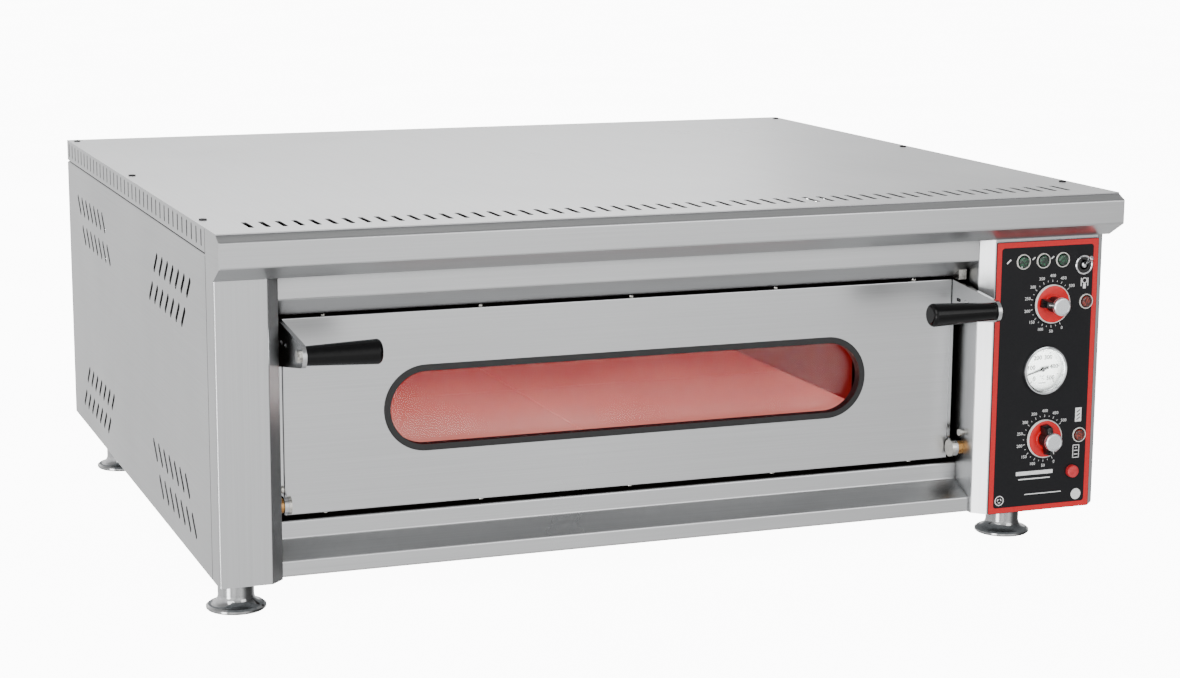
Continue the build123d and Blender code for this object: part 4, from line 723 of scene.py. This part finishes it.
needle_paint = ink("black_needle_paint", 0x0F0F10, 0x1C1C1D)
coat(needle_paint, "gauge_needle")
tip = max((v.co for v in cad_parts["gauge_needle"].data.vertices),
          key=lambda point: (point.x - gauge.x) ** 2 + (point.z - gauge.z) ** 2)
pointing = Vector((tip.x - gauge.x, 0, tip.z - gauge.z)).normalized()
NEEDLE_L, NEEDLE_TAIL, NEEDLE_W = 0.0235, 0.0085, 0.0020
middle = pointing * (NEEDLE_L - NEEDLE_TAIL) / 2
blade = printed_bar(gauge.x + middle.x, gauge.z + middle.z, NEEDLE_L + NEEDLE_TAIL, NEEDLE_W,
                    math.degrees(math.atan2(pointing.z, pointing.x)), plane=dial_plane - 4 * INK,
                    thickness=3 * INK)
for vertex in blade.data.vertices:
    if vertex.co.x > 0:
        vertex.co.z *= 0.35
finish_piece(blade, "needle_blade", "gauge_needle", needle_paint)
boss_at = Vector((gauge.x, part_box("gauge_needle")[0].y, gauge.z))
boss = turned("needle_boss", [
    (0.0, 0.0012), (0.0018, 0.0012), (0.0026, 0.0006), (0.0028, 0.0), (0.0, 0.0)],
    boss_at, steps=24)
finish_piece(boss, "needle_boss", "gauge_needle", needle_paint)

# ---------------------------------------------------------------- lamps, switch and button
# Neon lamps in turned white collars, with prismatic lenses that are dark when out; a chromed
# toggle in a dark recess inside a thin bright ring nut; and a soft red reset button.
lamp_collar = mottled_finish("pale_lamp_collar", 3.33, 3.0, {
    "Base Color": [(0.3, 0xDCDAD4), (0.7, 0xF2F0EA)]}, Roughness=0.35)
LENS_RIB_MM = 2.381


def lens_finish(name, low, high, glow, strength):
    """Ribbed translucent lens with a faint glow, dark between its ribs."""
    material, tree, shader, place = new_finish(name, Roughness=0.12, Emission_Strength=strength,
                                               Coat_Weight=0.5)
    ribs = add_node(tree, "ShaderNodeTexVoronoi", {"Scale": 1000 / LENS_RIB_MM}, {"Vector": place})
    vary(tree, shader, ribs.outputs["Distance"], {"Base Color": [(0.1, high), (0.6, low)]})
    shader.inputs["Emission Color"].default_value = colour(glow)
    bump = add_node(tree, "ShaderNodeBump", {"Strength": 0.6, "Distance": 0.0006},
                    {"Height": ribs.outputs["Distance"]})
    tree.links.new(bump.outputs["Normal"], shader.inputs["Normal"])
    return material


coat(lens_finish("green_lamp_lens", 0x04150D, 0x1E6A45, 0x12583A, 0.06), "green_lamp_lenses")
coat(lens_finish("amber_lamp_lens", 0x300A06, 0xA03018, 0x8A2410, 0.12), "amber_lamp_lenses")


def copy_at(piece, at):
    """A copy of a piece, with its own mesh, moved to a point."""
    twin = piece.copy()
    twin.data = piece.data.copy()
    twin.location = at
    bpy.context.collection.objects.link(twin)
    return twin


# The lenses of a row are told apart by the gaps between their CAD vertices along the row.
LENS_GAP = 0.006
lamps_at = []
for node in ("green_lamp_lenses", "amber_lamp_lenses"):
    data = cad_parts[node].data
    low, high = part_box(node)
    wide = high.x - low.x > high.z - low.z
    ends = sorted({round((v.co.x if wide else v.co.z), 5) for v in data.vertices})
    groups = [[ends[0]]]
    for value in ends[1:]:
        if value - groups[-1][-1] > LENS_GAP:
            groups.append([value])
        else:
            groups[-1].append(value)
    for group in groups:
        along = (group[0] + group[-1]) / 2
        if wide:
            lamps_at.append(Vector((along, panel_low.y, (low.z + high.z) / 2)))
        else:
            near = [v.co.x for v in data.vertices if abs(v.co.z - along) < 0.01]
            lamps_at.append(Vector(((min(near) + max(near)) / 2, panel_low.y, along)))

WELL_R = 0.0087
collar = turned("collar", [
    (0.0098, 0.0), (0.0101, 0.0004), (0.0101, 0.0014), (0.0096, 0.0024), (0.0091, 0.0024),
    (WELL_R, 0.0016), (WELL_R, 0.0), (0.0098, 0.0)], Vector((0, 0, 0)), steps=40)
well = turned("well", [
    (WELL_R, 0.0), (WELL_R, 0.0013), (LENS_R + 0.00015, 0.0006), (LENS_R + 0.00015, 0.0),
    (WELL_R, 0.0)], Vector((0, 0, 0)), steps=32)
collars = [copy_at(collar, at) for at in lamps_at]
wells = [copy_at(well, at) for at in lamps_at]
bpy.data.objects.remove(collar)
bpy.data.objects.remove(well)
collar_piece = finish_piece(join_pieces(collars), "lamp_collars", "oven",
                            lamp_collar)
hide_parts("lamp_rings")
finish_piece(join_pieces(wells), "lamp_wells", "oven", black_grip)

chromed = mottled_finish("chromed_switch_metal", 7.14, 3.0, {
    "Base Color": [(0.3, 0xC8CACC), (0.7, 0xE0E1E2)],
    "Roughness": [(0.3, 0.08), (0.7, 0.18)]}, Metallic=1.0)
coat(chromed, "switch_lever")
NUT_BORE_R = 0.0106
switch_at = Vector((middle_of("light_switch").x, panel_low.y, middle_of("light_switch").z))
nut = turned("switch_ring_nut", [
    (NUT_BORE_R, 0.0), (0.0128, 0.0), (0.0130, 0.0003), (0.0130, 0.0012), (0.0124, 0.0018),
    (0.0112, 0.0018), (NUT_BORE_R, 0.0012), (NUT_BORE_R, 0.0)], switch_at)
finish_piece(nut, "switch_ring_nut", "oven", chromed)
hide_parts("light_switch")
boot = turned("switch_boot", [
    (NUT_BORE_R, 0.0), (NUT_BORE_R, 0.0008), (0.0085, 0.0012), (0.0066, 0.0010), (0.0062, 0.0002),
    (0.0062, -0.0040), (0.0090, -0.0040), (0.0090, 0.0), (NUT_BORE_R, 0.0)], switch_at)
finish_piece(boot, "switch_boot", "oven", black_grip)

button_red = mottled_finish("red_silicone_cap", 3.85, 3.0, {
    "Base Color": [(0.3, 0xB8222A), (0.7, 0xD8343A)]}, Roughness=0.45, Subsurface_Weight=0.1)
coat(button_red, "reset_button")
coat(black_grip, "control_bodies", "cable_gland")

# ---------------------------------------------------------------- cover screws
# Blackened pan head screws with a cross recess hold the deck down along both sides.
blackened = mottled_finish("blackened_screw_steel", 2.5, 3.0, {
    "Base Color": [(0.3, 0x2A2A2C), (0.7, 0x4C4C4E)],
    "Roughness": [(0.3, 0.3), (0.7, 0.45)]}, Metallic=1.0)
coat(blackened, "cover_screws")
HEAD_R, HEAD_H, HEAD_ROUND = 0.0050, 0.0017, 0.0011
CROSS_L, CROSS_W, CROSS_TURN = 0.0052, 0.0012, 0.4
deck_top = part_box("top_cover")[1].z
bpy.ops.object.select_all(action="DESELECT")
bpy.ops.mesh.primitive_cylinder_add(vertices=32, radius=HEAD_R, depth=HEAD_H)
head = bpy.context.object
dome = head.modifiers.new("dome", "BEVEL")
dome.width, dome.segments, dome.limit_method = HEAD_ROUND, 4, "ANGLE"
bpy.ops.object.modifier_apply(modifier=dome.name)
for turn in (CROSS_TURN, CROSS_TURN + math.pi / 2):
    bpy.ops.mesh.primitive_cube_add(size=1, location=(0, 0, 0.00095), rotation=(0, 0, turn),
                                    scale=(CROSS_L, CROSS_W, 0.0022))
    cutter = bpy.context.object
    cut = head.modifiers.new("cross", "BOOLEAN")
    cut.operation, cut.object, cut.solver = "DIFFERENCE", cutter, "EXACT"
    bpy.ops.object.select_all(action="DESELECT")
    head.select_set(True)
    bpy.context.view_layer.objects.active = head
    bpy.ops.object.modifier_apply(modifier=cut.name)
    bpy.data.objects.remove(cutter)

heads = {}
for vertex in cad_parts["cover_screws"].data.vertices:
    if vertex.co.z > deck_top + 0.0001:
        key = (vertex.co.x > 0, round(vertex.co.y / 0.2))
        heads.setdefault(key, []).append(vertex.co.copy())
screws = []
for key, points in sorted(heads.items()):
    x = (min(p.x for p in points) + max(p.x for p in points)) / 2
    y = (min(p.y for p in points) + max(p.y for p in points)) / 2
    screws.append(copy_at(head, (x, y, deck_top + HEAD_H / 2)))
bpy.data.objects.remove(head)
screw_piece = finish_piece(join_pieces(screws), "deck_screw_heads", "oven",
                           blackened)
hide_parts("cover_screws")
